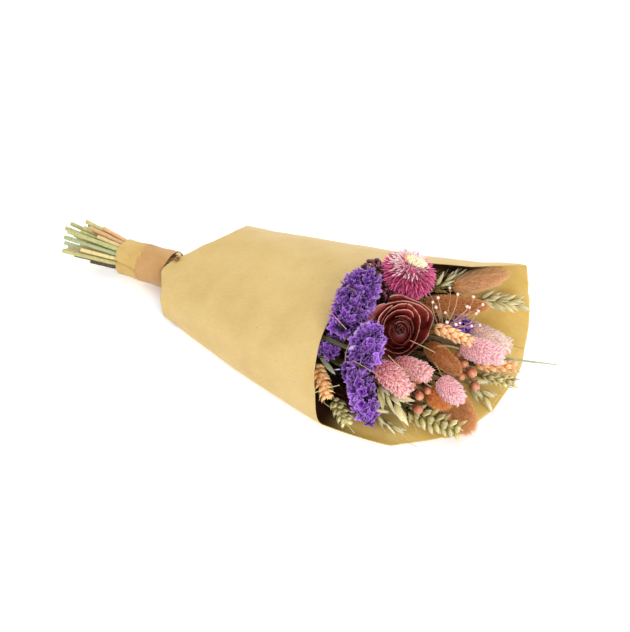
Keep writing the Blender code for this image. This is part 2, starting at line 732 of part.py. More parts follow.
def build_flowers(collection):
    slots = deal_slots()
    routes, radii = settle_stems(slots)
    for name in HEADS:
        kind = kind_of(name)
        material = bpy.data.materials.get(kind) or make_material(kind, COLOURS[kind])
        slot, route, radius = slots[name], routes[name], radii[name]
        if name in ("rose", "strawflower"):
            axis = (Vector(HEADS[name][1]) - Vector(HEADS[name][0])).normalized()
            last = (route[-1] - route[-2]).normalized()
            tilt = math.sqrt(max(0.0, 1 - last.dot(axis) ** 2))
            stop = STEM_TIP_GAP + radius * tilt
            green = bpy.data.materials.get("stem") or make_material("stem", COLOURS["stem"])
            stem = stem_mesh(name, slot, route, radius, stop)
            obj = add_object(name + "_stem", stem, collection)
            stem.materials.clear()
            stem.materials.append(green)
            head = strawflower_head(name) if name == "strawflower" else rose_head(name)
            fuse(name, head, collection, material)
            continue
        meshes = [stem_mesh(name, slot, route, radius)]
        if name == "grass_awn":
            meshes.append(awn_mesh(name))
        elif kind == "filler_stem":
            obj = add_object(name, meshes[0], collection)
            meshes[0].materials.clear()
            meshes[0].materials.append(material)
            continue
        else:
            maker = HEAD_BUILDERS.get(name) or HEAD_BUILDERS[kind]
            meshes += maker(name)
        fuse(name, meshes, collection, material)


def main():
    clear_scene()
    bouquet = new_collection("Mixed flower bouquet")
    kraft = make_material("kraft paper", (0.73, 0.54, 0.25), 0.75)
    kraft_cuff = make_material("kraft cuff", (0.72, 0.52, 0.25), 0.75)
    tape = make_material("paper tape", (0.55, 0.32, 0.16), 0.7)
    build_wrapper(bouquet, kraft)
    build_band("stem_collar", COLLAR_FROM, COLLAR_TO, COLLAR_INNER, 0.5, bouquet, kraft_cuff)
    build_band("stem_tape", COLLAR_TO + 0.4, TAPE_TO, COLLAR_INNER, 0.3, bouquet, tape)
    build_flowers(bouquet)


main()
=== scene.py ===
# Mixed bouquet of dried flowers lying in a cone of kraft paper.
# +X runs from the cut stems to the flowers and +Z is up. Shapes are worked out in
# millimetres and turned to metres in finishPiece.
import math

import bpy
import numpy as np
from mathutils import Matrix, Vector


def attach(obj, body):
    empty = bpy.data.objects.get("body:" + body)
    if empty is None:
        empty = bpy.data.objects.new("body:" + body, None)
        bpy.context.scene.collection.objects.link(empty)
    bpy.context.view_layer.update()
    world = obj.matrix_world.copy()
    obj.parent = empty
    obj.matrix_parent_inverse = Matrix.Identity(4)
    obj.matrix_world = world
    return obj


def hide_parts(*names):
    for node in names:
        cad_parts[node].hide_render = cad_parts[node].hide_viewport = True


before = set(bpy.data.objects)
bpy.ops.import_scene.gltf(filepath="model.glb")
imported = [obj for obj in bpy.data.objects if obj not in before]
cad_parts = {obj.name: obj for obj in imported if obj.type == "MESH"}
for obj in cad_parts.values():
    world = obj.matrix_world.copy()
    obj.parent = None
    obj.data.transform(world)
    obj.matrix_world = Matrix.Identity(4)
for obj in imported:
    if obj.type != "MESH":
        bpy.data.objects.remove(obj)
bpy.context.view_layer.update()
goldenAngle = math.radians(137.5)
print("packed model loaded:", len(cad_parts), "nodes")


# small helpers for vectors and shapes

def vec(*values):
    return np.array(values, float)


def unit(v):
    v = np.asarray(v, float)
    return v / max(np.linalg.norm(v), 1e-9)


def turnTo(axis, roll=0.0):
    # columns are across, outwards and along
    z = unit(axis)
    x = np.cross((0, 0, 1), z)
    if np.linalg.norm(x) < 1e-3:
        x = np.cross((0, 1, 0), z)
    x = unit(x)
    y = np.cross(z, x)
    c, s = math.cos(roll), math.sin(roll)
    return np.stack([x * c + y * s, y * c - x * s, z], axis=1)


def outward(turn, a):
    # direction at angle a round the axis of a turn
    return turn @ vec(math.cos(a), math.sin(a), 0)


def faced(along, back):
    # turn with Z along and Y out of the back
    return np.stack([np.cross(back, along), back, along], axis=1)


def ringOf(count):
    return np.linspace(0, math.tau, count, endpoint=False)


def stacked(*parts):
    return np.stack(np.broadcast_arrays(*parts), axis=-1)


def newHeap():
    return {"verts": [], "faces": [], "marks": [], "slots": [], "count": 0}


def addShape(heap, shape, turn=None, origin=(0, 0, 0), scale=1.0, tone=None, slot=0):
    verts, faces, marks = shape
    placed = verts * np.asarray(scale, float)
    if turn is not None:
        placed = placed @ turn.T
    placed = placed + np.asarray(origin, float)
    if tone is not None:
        marks = marks.copy()
        marks[:, 0] = tone
    heap["verts"].append(placed)
    heap["marks"].append(marks)
    for block in faces:
        if len(block):
            heap["faces"].append(block + heap["count"])
            heap["slots"].append(np.full(len(block), slot))
    heap["count"] += len(placed)


def addFaces(heap, corners):
    # quads that join points already on the heap, from four runs of their numbers
    heap["faces"].append(np.stack(corners, axis=-1))
    heap["slots"].append(np.zeros(len(corners[0])))


def flipped(shape):
    verts, faces, marks = shape
    return verts, [block[:, ::-1] for block in faces], marks


def gridShape(points, along=None, edge=0.0, wrap=False):
    # sheet through a grid of points; along and edge tell the materials where they are on it
    rows, cols = points.shape[:2]
    index = np.arange(rows * cols).reshape(rows, cols)
    right = np.roll(index, -1, axis=1) if wrap else index[:, 1:]
    left = index if wrap else index[:, :-1]
    faces = np.stack([left[:-1], right[:-1], right[1:], left[1:]], axis=-1).reshape(-1, 4)
    marks = np.zeros((rows, cols, 3))
    marks[..., 1] = np.linspace(0, 1, rows)[:, None] if along is None else along
    marks[..., 2] = edge
    return points.reshape(-1, 3), [faces], marks.reshape(-1, 3)


def petalShape(length, width, rows=6, cols=5, cup=0.3, curl=0.0, widest=0.55, tip=1.0, keel=0.0,
               wave=0.0, foot=0.18):
    # one petal, bract or husk: root at the origin, running along +Z, its back towards +Y
    s = np.linspace(0, 1, rows)[:, None]
    u = np.linspace(-1, 1, cols)[None, :]
    warped = s ** (math.log(0.5) / math.log(widest))
    girth = np.sin(math.pi * warped) ** 0.75 * (1 - foot * tip) + foot * (1 - s) ** tip
    half = width / 2 * np.clip(girth, 0.02, None)
    x = u * half
    y = cup * half * (1 - u ** 2) + keel * half * (1 - np.abs(u)) ** 1.5
    y = y + wave * np.sin(7 * s + 3 * u) * half
    bend = curl * s ** 1.4
    z = np.cumsum(np.cos(bend), axis=0) / rows * length
    out = np.cumsum(np.sin(bend), axis=0) / rows * length
    points = stacked(x, y * np.cos(bend) + out, z - y * np.sin(bend))
    return gridShape(points, edge=np.abs(u))


def spindleShape(length, radius, sides=10, rings=8, belly=0.45, blunt=0.7, ridge=0.0, ridges=5,
                 flat=1.0):
    # pointed grain or bead along +Z from the origin, widest at the belly
    t = np.linspace(0, 1, rings + 1)[:, None]
    a = ringOf(sides)[None, :]
    warped = t ** (math.log(0.5) / math.log(belly))
    r = radius * np.clip(np.sin(math.pi * warped), 1e-3, None) ** blunt
    r = r * (1 + ridge * np.cos(ridges * a))
    return gridShape(stacked(r * np.cos(a), r * np.sin(a) * flat, t * length), wrap=True)


def ballShape(radius, sides=10, rings=7):
    height = np.linspace(0, math.pi, rings + 1)[:, None]
    a = ringOf(sides)[None, :]
    r = np.maximum(np.sin(height), 1e-3) * radius
    return gridShape(stacked(r * np.cos(a), r * np.sin(a), -radius * np.cos(height)), wrap=True)


def smoothLine(points, steps=5):
    # rounded run through the points, with the given steps in each stretch
    p = np.asarray(points, float)
    p = np.vstack([2 * p[0] - p[1], p, 2 * p[-1] - p[-2]])
    t = np.linspace(0, 1, steps, endpoint=False)[:, None]
    made = []
    for a, b, c, d in zip(p, p[1:], p[2:], p[3:]):
        made.append(0.5 * (2 * b + (c - a) * t + (2 * a - 5 * b + 4 * c - d) * t ** 2
                           + (3 * b - a - 3 * c + d) * t ** 3))
    return np.vstack(made + [p[-2:-1]])


def tubeShape(line, radii, sides=8, ribs=0.0, capped=True):
    # round or ribbed rod along a line, its rings carried along without twisting
    line = np.asarray(line, float)
    radii = np.interp(np.linspace(0, 1, len(line)), np.linspace(0, 1, len(radii)), radii)
    run = np.gradient(line, axis=0)
    run /= np.maximum(np.linalg.norm(run, axis=1), 1e-9)[:, None]
    side = unit(np.cross(run[0], (0, 0.3, 1)))
    a = ringOf(sides)
    rings = []
    for centre, d, r in zip(line, run, radii):
        side = unit(side - d * (side @ d))
        other = np.cross(d, side)
        girth = r * (1 + ribs * np.cos(sides / 2 * a))
        ring = np.outer(girth * np.cos(a), side) + np.outer(girth * np.sin(a), other)
        rings.append(centre + ring)
    verts, faces, marks = gridShape(np.array(rings), wrap=True)
    marks[:, 2] = np.tile(0.5 + 0.5 * np.cos(sides / 2 * a), len(line))
    if capped:
        last = len(verts) - sides
        ends = np.array([line[0], line[-1]])
        index = np.arange(sides)
        after = np.roll(index, -1)
        low = np.stack([np.full(sides, len(verts)), after, index], axis=-1)
        high = np.stack([np.full(sides, len(verts) + 1), index + last, after + last], axis=-1)
        verts = np.vstack([verts, ends])
        marks = np.vstack([marks, [[0, 0, 0], [0, 1, 0]]])
        faces = faces + [low, high]
    return verts, faces, marks


def linkThing(name, data):
    thing = bpy.data.objects.new(name, data)
    bpy.context.scene.collection.objects.link(thing)
    return thing


def finishPiece(name, heap, materials, nodes=()):
    # mesh from the heap, in metres, riding on the bouquet
    verts = np.concatenate(heap["verts"]) * 0.001
    loops = np.concatenate([f.ravel() for f in heap["faces"]]).astype(np.int32)
    totals = np.concatenate([np.full(len(f), f.shape[1]) for f in heap["faces"]]).astype(np.int32)
    starts = np.concatenate([[0], np.cumsum(totals)[:-1]]).astype(np.int32)
    mesh = bpy.data.meshes.new(name)
    mesh.vertices.add(len(verts))
    mesh.vertices.foreach_set("co", verts.ravel())
    mesh.loops.add(len(loops))
    mesh.loops.foreach_set("vertex_index", loops)
    mesh.polygons.add(len(totals))
    mesh.polygons.foreach_set("loop_start", starts)
    mesh.polygons.foreach_set("material_index", np.concatenate(heap["slots"]).astype(np.int32))
    mesh.update(calc_edges=True)
    mesh.validate()
    marks = mesh.attributes.new("marks", "FLOAT_VECTOR", "POINT")
    marks.data.foreach_set("vector", np.concatenate(heap["marks"]).ravel())
    mesh.shade_smooth()
    for material in materials:
        mesh.materials.append(material)
    piece = linkThing(name, mesh)
    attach(piece, "root")
    if nodes:
        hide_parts(*nodes)
    print(name, "made:", len(totals), "faces")


# materials

def linear(code):
    # sRGB hex to linear colour
    parts = [int(code[i:i + 2], 16) / 255 for i in (1, 3, 5)]
    return (*(p / 12.92 if p <= 0.04045 else ((p + 0.055) / 1.055) ** 2.4 for p in parts), 1.0)


def addNode(material, kind, inputs=None, **settings):
    # one node with its settings, and its inputs as constants or links
    tree = material.node_tree
    node = tree.nodes.new(kind)
    for key, value in settings.items():
        setattr(node, key, value)
    for key, value in (inputs or {}).items():
        if isinstance(value, bpy.types.NodeSocket):
            tree.links.new(value, node.inputs[key])
        else:
            node.inputs[key].default_value = value
    return node


def rampOf(material, factor, stops):
    ramp = addNode(material, "ShaderNodeValToRGB", {"Fac": factor})
    while len(ramp.color_ramp.elements) < len(stops):
        ramp.color_ramp.elements.new(0.5)
    for element, (place, code) in zip(ramp.color_ramp.elements, stops):
        element.position = place
        element.color = linear(code)
    return ramp.outputs["Color"]


def startMaterial(name):
    material = bpy.data.materials.new(name)
    material.use_nodes = True
    material.node_tree.nodes.clear()
    place = addNode(material, "ShaderNodeTexCoord").outputs["Object"]
    marks = addNode(material, "ShaderNodeAttribute", attribute_name="marks").outputs["Vector"]
    parts = addNode(material, "ShaderNodeSeparateXYZ", {"Vector": marks}).outputs
    return material, place, parts[0], parts[1], parts[2]


def mixColours(material, factor, first, second, how="MIX"):
    return addNode(material, "ShaderNodeMix", {0: factor, 6: first, 7: second},
                   data_type="RGBA", blend_type=how).outputs[2]


def mapped(material, value, low, high, toLow=0.0, toHigh=1.0):
    # a value between low and high, moved to between toLow and toHigh
    return addNode(material, "ShaderNodeMapRange", {
        "Value": value, "From Min": low, "From Max": high,
        "To Min": toLow, "To Max": toHigh}).outputs[0]


def mathOf(material, how, *values):
    return addNode(material, "ShaderNodeMath", dict(enumerate(values)), operation=how).outputs[0]


def shaded(material, colour, factor):
    grey = addNode(material, "ShaderNodeCombineColor", {0: factor, 1: factor, 2: factor})
    return mixColours(material, 1.0, colour, grey.outputs[0], "MULTIPLY")


def noiseOf(material, place, sizeMm, detail=2.0, roughness=0.5, stretch=(1, 1, 1)):
    if stretch != (1, 1, 1):
        place = addNode(material, "ShaderNodeMapping",
                        {"Vector": place, "Scale": stretch}).outputs[0]
    return addNode(material, "ShaderNodeTexNoise", {
        "Vector": place, "Scale": 1000 / sizeMm, "Detail": detail,
        "Roughness": roughness}).outputs["Fac"]


def closeMaterial(material, colour, height=None, bumpMm=0.1, bumpShare=0.5, **surface):
    # principled surface: constants go straight on its sockets
    inputs = {"Base Color": colour, **surface}
    if height is not None:
        inputs["Normal"] = addNode(material, "ShaderNodeBump", {
            "Height": height, "Distance": bumpMm * 0.001, "Strength": bumpShare}).outputs["Normal"]
    bsdf = addNode(material, "ShaderNodeBsdfPrincipled", inputs)
    addNode(material, "ShaderNodeOutputMaterial", {"Surface": bsdf.outputs[0]})
    return material


def plantMaterial(name, along, rim=None, rimShare=0.0, variety=0.35, grainMm=1.2, veinMm=None,
                  bumpMm=0.15, roughness=0.7, sheen=0.0, sheenTint="#FFFFFF", specular=0.3,
                  blotch="#000000", blotchShare=0.0, rimFrom=0.6):
    # dried plant: colour from root to tip, light or dark by floret, blotches, rims and grain
    material, place, tone, run, edge = startMaterial(name)
    grain = noiseOf(material, place, grainMm, detail=3.0, roughness=0.6)
    colour = rampOf(material, run, along)
    colour = shaded(material, colour, mapped(material, tone, 0, 1, 1 - variety, 1 + variety * 0.6))
    colour = shaded(material, colour, mapped(material, grain, 0.3, 0.7, 0.78, 1.14))
    if blotchShare:
        patch = noiseOf(material, place, grainMm * 3.5, detail=2.0)
        colour = mixColours(material, mapped(material, patch, 0.5, 0.68, 0, blotchShare), colour,
                            linear(blotch))
    if rim:
        colour = mixColours(material, mapped(material, edge, rimFrom, 1, 0, rimShare), colour,
                            linear(rim))
    height = grain
    if veinMm:
        vein = mathOf(material, "SINE", mathOf(material, "MULTIPLY", edge, math.tau / veinMm))
        height = mathOf(material, "ADD", grain, vein)
    return closeMaterial(material, colour, height, bumpMm=bumpMm, bumpShare=0.6, **{
        "Roughness": roughness, "Specular IOR Level": specular, "Sheen Weight": sheen,
        "Sheen Roughness": 0.4, "Sheen Tint": linear(sheenTint)})


def kraftMaterial(name, light, mid, dark, fleck, roughness, paintedShade=None):
    # unbleached kraft, machine calendered: soft cloudy pulp, short fibres and a few dark shives
    material, place, _, run, _ = startMaterial(name)
    colour = rampOf(material, noiseOf(material, place, 26.0, detail=3.0, roughness=0.55),
                    ((0.3, dark), (0.5, mid), (0.72, light)))
    if paintedShade:     # painted shade: dark brown mixed in deep under the folded rims
        colour = mixColours(material, run, colour, linear(paintedShade))
    fibre = noiseOf(material, place, 1.6, detail=3.0, roughness=0.65, stretch=(0.35, 1.0, 1.0))
    colour = shaded(material, colour, mapped(material, fibre, 0.35, 0.65, 0.955, 1.03))
    # shives are about 0.4 mm bits of bark, drawn at 0.9 mm so that they show
    cells = addNode(material, "ShaderNodeTexVoronoi", {
        "Vector": place, "Scale": 1000 / 8.0, "Randomness": 1.0}).outputs["Distance"]
    thinned = mapped(material, noiseOf(material, place, 14.0, detail=1.0), 0.52, 0.6)
    shive = mathOf(material, "MULTIPLY", mapped(material, cells, 0.05, 0.09, 0.55, 0.0), thinned)
    colour = mixColours(material, shive, colour, linear(fleck))
    soft = noiseOf(material, place, 9.0, detail=2.0)
    return closeMaterial(
        material, colour, mathOf(material, "MULTIPLY_ADD", soft, 3.0, fibre), bumpMm=0.12,
        **{"Roughness": mapped(material, fibre, 0, 1, roughness - 0.05, roughness + 0.08),
           "Specular IOR Level": 0.35})


kraftOutside = kraftMaterial(
    "kraft paper outer face", "#CDB176", "#C9AC6E", "#C4A667", "#86693A", roughness=0.5)
# inner face: lighter and more golden than the outer face, painted light standing in for light
# shining through the thin sheet; its dark brown mix is painted shade under the rims
kraftInsidePaintedLightAndShade = kraftMaterial(
    "kraft paper inner face, painted light and shade", "#EACB7C", "#E5C26E", "#DCB660", "#8E6A34", roughness=0.6,
    paintedShade="#3A1A08")
kraftCuff = kraftMaterial(
    "creased kraft cuff", "#C8A968", "#C2A05C", "#B4914C", "#8A6A38", roughness=0.55)
paperTape = kraftMaterial(
    "brown paper tape", "#C0965F", "#B68A55", "#AA7C48", "#8F6A44", roughness=0.5)
# statice: dry pleated calyces, thin as tissue; the pale rim is painted light standing in for light
# shining through the one-layer edge, and the near-black foot of each cup is painted shade between
# the cups
staticeCup = plantMaterial(
    "dried statice calyx", ((0, "#10031C"), (0.4, "#300F50"), (0.72, "#642690"), (1, "#9A5CC4")),
    rim="#D0A8EC", rimShare=0.55, rimFrom=0.86, variety=0.5, grainMm=0.9, bumpMm=0.2,
    roughness=0.5, sheen=0.15, sheenTint="#D0B8F2")
# the near-black stalk is painted shade in the gaps between the cups
staticeCore = plantMaterial(
    "dried statice stalk", ((0, "#2A2614"), (1, "#2A1046")), variety=0.3, roughness=0.8)
staticeBract = plantMaterial(
    "bleached statice bract", ((0, "#9C86C0"), (1, "#CDBEE2")), variety=0.2, roughness=0.6)
# strawflower: stiff papery bracts with a satin shine, pale where they are dry and thin
strawBract = plantMaterial(
    "dried strawflower bract", ((0, "#6A0C28"), (0.4, "#AE1C4C"), (0.8, "#DC4686"),
    (1, "#EE86B4")), rim="#F4B4CC", rimShare=0.35, variety=0.35, grainMm=0.9, bumpMm=0.1,
    roughness=0.4, sheen=0.2, specular=0.5)
strawPale = plantMaterial(
    "pale strawflower bract", ((0, "#C85E86"), (0.35, "#F0B4C8"), (1, "#FFF4EA")), variety=0.15,
    grainMm=0.9, roughness=0.45, specular=0.5)
strawBoss = plantMaterial(
    "strawflower disc floret", ((0, "#E2C98A"), (1, "#FBF6DA")), variety=0.18, grainMm=0.6,
    roughness=0.7)
strawRing = plantMaterial(
    "strawflower pollen ring", ((0, "#CE7A3A"), (1, "#F8B97A")), variety=0.3, grainMm=0.6,
    roughness=0.75)
# rose: dried petals go leathery, with a dull face and a pale rim, partly worn and partly painted
# highlight where the curled rims catch the light
roseLeather = plantMaterial(
    "dried rose petal", ((0, "#1E0505"), (0.4, "#561613"), (0.8, "#96352C"), (0.95, "#A2463A"),
    (1, "#DCA092")), variety=0.25, grainMm=1.4, bumpMm=0.35, roughness=0.45, specular=0.4,
    blotch="#4A1210", blotchShare=0.5)
sepalGreen = plantMaterial("dried sepal", ((0, "#5C5A2C"), (1, "#7A7A3E")), roughness=0.75)
# small dried berries, matt with a dull shine
berryDark = plantMaterial(
    "dried burgundy bud", ((0, "#22060C"), (0.6, "#4A1222"), (1, "#8E4450")), variety=0.5,
    grainMm=0.8, roughness=0.45, specular=0.5)
# bunny tail: dyed plume of fine soft hairs, light at their tips
plumeFinish = {"grainMm": 2.0, "roughness": 0.8}
plumeHair = plantMaterial(
    "bunny tail hair", ((0, "#C47A3C"), (0.5, "#EEA866"), (1, "#FFDCAE")), variety=0.4, sheen=0.3,
    sheenTint="#F6D6B0", **plumeFinish)
plumeBrown = plantMaterial(
    "brown bunny tail hair", ((0, "#A45E28"), (0.5, "#D98A48"), (1, "#F6BE84")), variety=0.45,
    sheen=0.25, sheenTint="#E9BC8C", **plumeFinish)
plumeWarm = plantMaterial(
    "warm bunny tail hair", ((0, "#C87C3C"), (0.5, "#E8A05A"), (1, "#FAC48E")), variety=0.4,
    sheen=0.25, sheenTint="#E9BC8C", **plumeFinish)
plumeRust = plantMaterial(
    "rust bunny tail hair", ((0, "#B8601C"), (0.5, "#E88A3C"), (1, "#FBC080")), variety=0.25,
    sheen=0.25, sheenTint="#F0B080", **plumeFinish)
# canary grass: chaffy scales, dyed pink and bleached at their points
canaryFinish = {"grainMm": 0.9, "bumpMm": 0.12, "roughness": 0.7, "sheen": 0.15}
canaryRose = plantMaterial(
    "deep dyed canary grass scale", ((0, "#D05C68"), (0.35, "#EA8A8E"), (0.7, "#F6B2B0"),
    (1, "#FFE4DE")), rim="#FFD8D0", rimShare=0.4, variety=0.14, **canaryFinish)
canaryDeep = plantMaterial(
    "strong dyed canary grass scale", ((0, "#A83248"), (0.35, "#CC5468"), (0.7, "#E88490"),
    (1, "#FCC8C4")), rim="#FFC8C0", rimShare=0.3, variety=0.2, **canaryFinish)
canaryChaff = plantMaterial(
    "dyed canary grass scale", ((0, "#DC7482"), (0.35, "#F09CA8"), (0.7, "#F8BCC2"),
    (1, "#FFEFE8")), rim="#FFE2DE", rimShare=0.5, variety=0.14, **canaryFinish)
canaryPale = plantMaterial(
    "pale canary grass scale", ((0, "#F0AC9A"), (0.35, "#FACABA"), (0.7, "#FFE0D0"),
    (1, "#FFF8F0")), rim="#FFEEE2", rimShare=0.5, variety=0.12, **canaryFinish)
# wheat: smooth ribbed husks
huskFinish = {"grainMm": 1.4, "veinMm": 0.7, "bumpMm": 0.12}
orangeHusk = plantMaterial(
    "dyed wheat husk", ((0, "#D07434"), (0.4, "#FAA85E"), (1, "#FFE0B0")), rim="#FFE9C8",
    rimShare=0.45, variety=0.2, roughness=0.5, specular=0.45, **huskFinish)
# brighter copy of the dyed husk for the ear under the near flap: painted light making up for the
# paper's shade
orangeHuskPaintedLight = plantMaterial(
    "dyed wheat husk, brightened as painted light", ((0, "#F08A34"), (0.4, "#FFB660"), (1, "#FFE2AC")), rim="#FFE9C0",
    rimShare=0.45, variety=0.15, roughness=0.5, specular=0.45, **huskFinish)
greenHusk = plantMaterial(
    "dried green wheat husk", ((0, "#8A7A30"), (0.45, "#BFAE5A"), (1, "#F6EFC0")), rim="#FAF2CC",
    rimShare=0.5, variety=0.3, roughness=0.52, specular=0.4, **huskFinish)
# oat: long boat-shaped glumes, ribbed, with thin whitish edges
oatGlume = plantMaterial(
    "dried oat glume", ((0, "#B8A850"), (0.45, "#E2D48E"), (1, "#FFF8D0")), rim="#FFFBE8",
    rimShare=0.65, variety=0.25, grainMm=1.2, veinMm=0.35, bumpMm=0.15, roughness=0.5,
    specular=0.4)
# flax: hard round seed bolls with a dull copper gloss
flaxBoll = plantMaterial(
    "dyed flax boll", ((0, "#8E3E26"), (0.5, "#C4714E"), (1, "#F0B088")), variety=0.25,
    grainMm=1.6, bumpMm=0.06, roughness=0.28, specular=0.6)
budPeach = plantMaterial(
    "dyed gypsophila bud", ((0, "#E8B296"), (0.5, "#FBDCC0"), (1, "#FFF6E8")), variety=0.15,
    grainMm=0.7, roughness=0.6)
twigPeach = plantMaterial(
    "dyed gypsophila branch", ((0, "#B98068"), (1, "#F0C4AC")), variety=0.2, roughness=0.6)
# stems: ribbed and matt once dry, some of them dyed with their flower
stemColours = {     # outside the paper, then the painted shade deep in the bunch, and the ribs
    "sage": ("#A9B283", "#3E3F22", "#BDC698"), "moss": ("#BDB678", "#46421E", "#CBC48C"),
    "olive": ("#B0AE74", "#3A3A1C", "#C3C488"), "peach": ("#CFA272", "#7A4A30", "#DAB68C"),
    "tan": ("#B9A27A", "#5E4628", "#CDBB94"), "bark": ("#4E3826", "#2A1A12", "#6A5038"),
    "straw": ("#DCC488", "#7A6236", "#E8D6A2"), "rust": ("#B57C5C", "#6E3E26", "#CC9C7A"),
    "blade": ("#A8AC88", "#A8AC88", "#C6C9A6"),
}
# each stem runs from its outside colour to the dark deep one towards its head: painted shade
# inside the paper
stemMaterials = {
    key: plantMaterial("dried stem, " + key, ((0.0, low), (0.32, low), (0.5, deep), (1.0, deep)),
                       rim=high, rimShare=0.22, rimFrom=0.3, variety=0.12, grainMm=3.0,
                       bumpMm=0.1, roughness=0.6, specular=0.4)
    for key, (low, deep, high) in stemColours.items()}
strawFinish = {"grainMm": 2.0, "bumpMm": 0.08, "specular": 0.4}
strawStem = plantMaterial(
    "loose straw", ((0, "#B98F62"), (1, "#D2B082")), variety=0.3, roughness=0.5, **strawFinish)
strawGreen = plantMaterial(
    "pale green straw", ((0, "#A9A66C"), (1, "#C9C592")), variety=0.2, roughness=0.55,
    **strawFinish)
strawRose = plantMaterial(
    "dyed straw", ((0, "#A87064"), (1, "#CC988C")), variety=0.2, roughness=0.55, **strawFinish)
leafFinish = {"variety": 0.5, "grainMm": 1.5, "roughness": 0.8, "specular": 0.15}
# near-black and dark brown leaves for the deep gaps of the bunch: mostly painted shade
shadeLeafDark = plantMaterial("dry leaf, near black as painted shade", ((0, "#1C170B"), (1, "#3A3118")), **leafFinish)
shadeLeafBrown = plantMaterial("dry leaf, dark brown as painted shade", ((0, "#2A1408"), (1, "#5A3016")), **leafFinish)
stemPith = plantMaterial("cut stem pith", ((0, "#E4DCA8"), (1, "#D9D29A")), roughness=0.85)
print("materials made:", len(bpy.data.materials))


# the wrapper: one sheet of kraft rolled to a flattened cone

wrapper = {
    "thick": 0.55, "rows": 56, "perDegree": 0.75,
    "seamFrom": 255, "seamTurn": 390,      # degrees: the sheet laps itself by 30
    "seamLift": 1.6, "liftFrom": 595, "liftOver": 18,     # the lap rises over its own edge
    "middleY": -6.0,      # guide line inside the cone, which tells the inner face from the outer
    "stations": (-140, -120, -100, -60, -30, 0, 34, 85, 100, 130, 150),
    "far": (52, 57, 57.4, 58.2, 58.8, 59.4, 60, 78, 81.5, 84, 85),
    "near": (-53.5, -56.5, -63.5, -76, -84, -91.5, -98.5, -96, -92, -87, -84),
    "high": (37, 42, 47.5, 58.5, 67.1, 76, 85, 84.6, 84.5, 83, 82),
    # cut edges of the sheet: how far each runs along X at an angle round the cone
    "narrowEdge": ((0, -118), (26, -115), (44, -112), (62, -114), (80, -121), (92, -132),
                   (104, -141), (119, -145), (134, -140), (152, -135), (176, -133), (187, -131),
                   (197, -121), (225, -118), (360, -118)),
    "flowerEdge": ((0, 124), (1, 123), (4, 122), (16, 121), (42, 121), (48, 118), (51.5, 110),
                   (56, 76), (60, 56), (65, 45), (74, 34), (97, 23), (117, 20), (151, 25),
                   (180, 29), (206, 33), (211, 44), (221, 71), (228, 85), (237, 92), (250, 110),
                   (262, 127), (268, 133), (271, 141), (286, 136), (310, 132), (352, 127),
                   (358, 126), (360, 124)),
    "rimWidth": 0.004,    # share of the length in the first and last row, to keep the rims crisp
    "arc": 1.25,          # mm round the cone for a degree
    "roll": {"angle": 47, "spread": 4, "reach": 7, "high": 0.8},    # free corner of the far wall
    "crumple": 0.26,      # depth of the soft dents, mm
}


def easeIn(t):
    t = np.clip(t, 0, 1)
    return t * t * (3 - 2 * t)


def paperPoints(x, angle, settings):
    # outer face of the cone at x and angle: 0 is the far side, 90 the top
    far = np.interp(x, settings["stations"], settings["far"])
    near = np.interp(x, settings["stations"], settings["near"])
    high = np.interp(x, settings["stations"], settings["high"])
    c, s = np.cos(np.radians(angle)), np.sin(np.radians(angle))
    power = np.where(s <= 0, 6.0, 2.5 - np.where(c > 0, 0.6, 0.25) * c)
    power = power + np.where((s > 0) & (c > 0), 1.1 * easeIn((x - 85) / 45) * easeIn(c / 0.5), 0)
    y = (far + near) / 2 + (far - near) / 2 * np.sign(c) * np.abs(c) ** (2 / power)
    z = high / 2 * (1 + np.sign(s) * np.abs(s) ** (2 / power))
    z = np.maximum(0, z - 1.5) * high / (high - 1.5)
    return np.stack([x, y, z], axis=-1)


def softWaves(x, y, seed, count=9, size=60.0):
    # sum of long crossing waves: gentle dents with no repeat
    rng = np.random.default_rng(seed)
    total = np.zeros(np.broadcast(x, y).shape)
    for _ in range(count):
        a, phase = rng.uniform(0, math.tau, 2)
        wide = size * rng.uniform(0.5, 1.5)
        run = x * math.cos(a) + y * math.sin(a)
        total += np.cos(run * math.tau / wide + phase) / count ** 0.5
    return total


def curveThrough(table, at):
    # smooth curve through the points of a table that never runs past them
    x, y = (np.array(column, float) for column in zip(*table))
    span, rate = np.diff(x), np.diff(y) / np.diff(x)
    both, total = rate[1:] * rate[:-1], rate[1:] + rate[:-1]
    slope = np.zeros(len(x))
    slope[1:-1] = np.where(both > 0, 2 * both / np.where(both > 0, total, 1), 0)
    i = np.clip(np.searchsorted(x, at, side="right") - 1, 0, len(span) - 1)
    t = (at - x[i]) / span[i]
    return (y[i] * (1 + 2 * t) * (1 - t) ** 2 + y[i + 1] * t * t * (3 - 2 * t)
            + span[i] * (slope[i] * t * (1 - t) ** 2 - slope[i + 1] * t * t * (1 - t)))


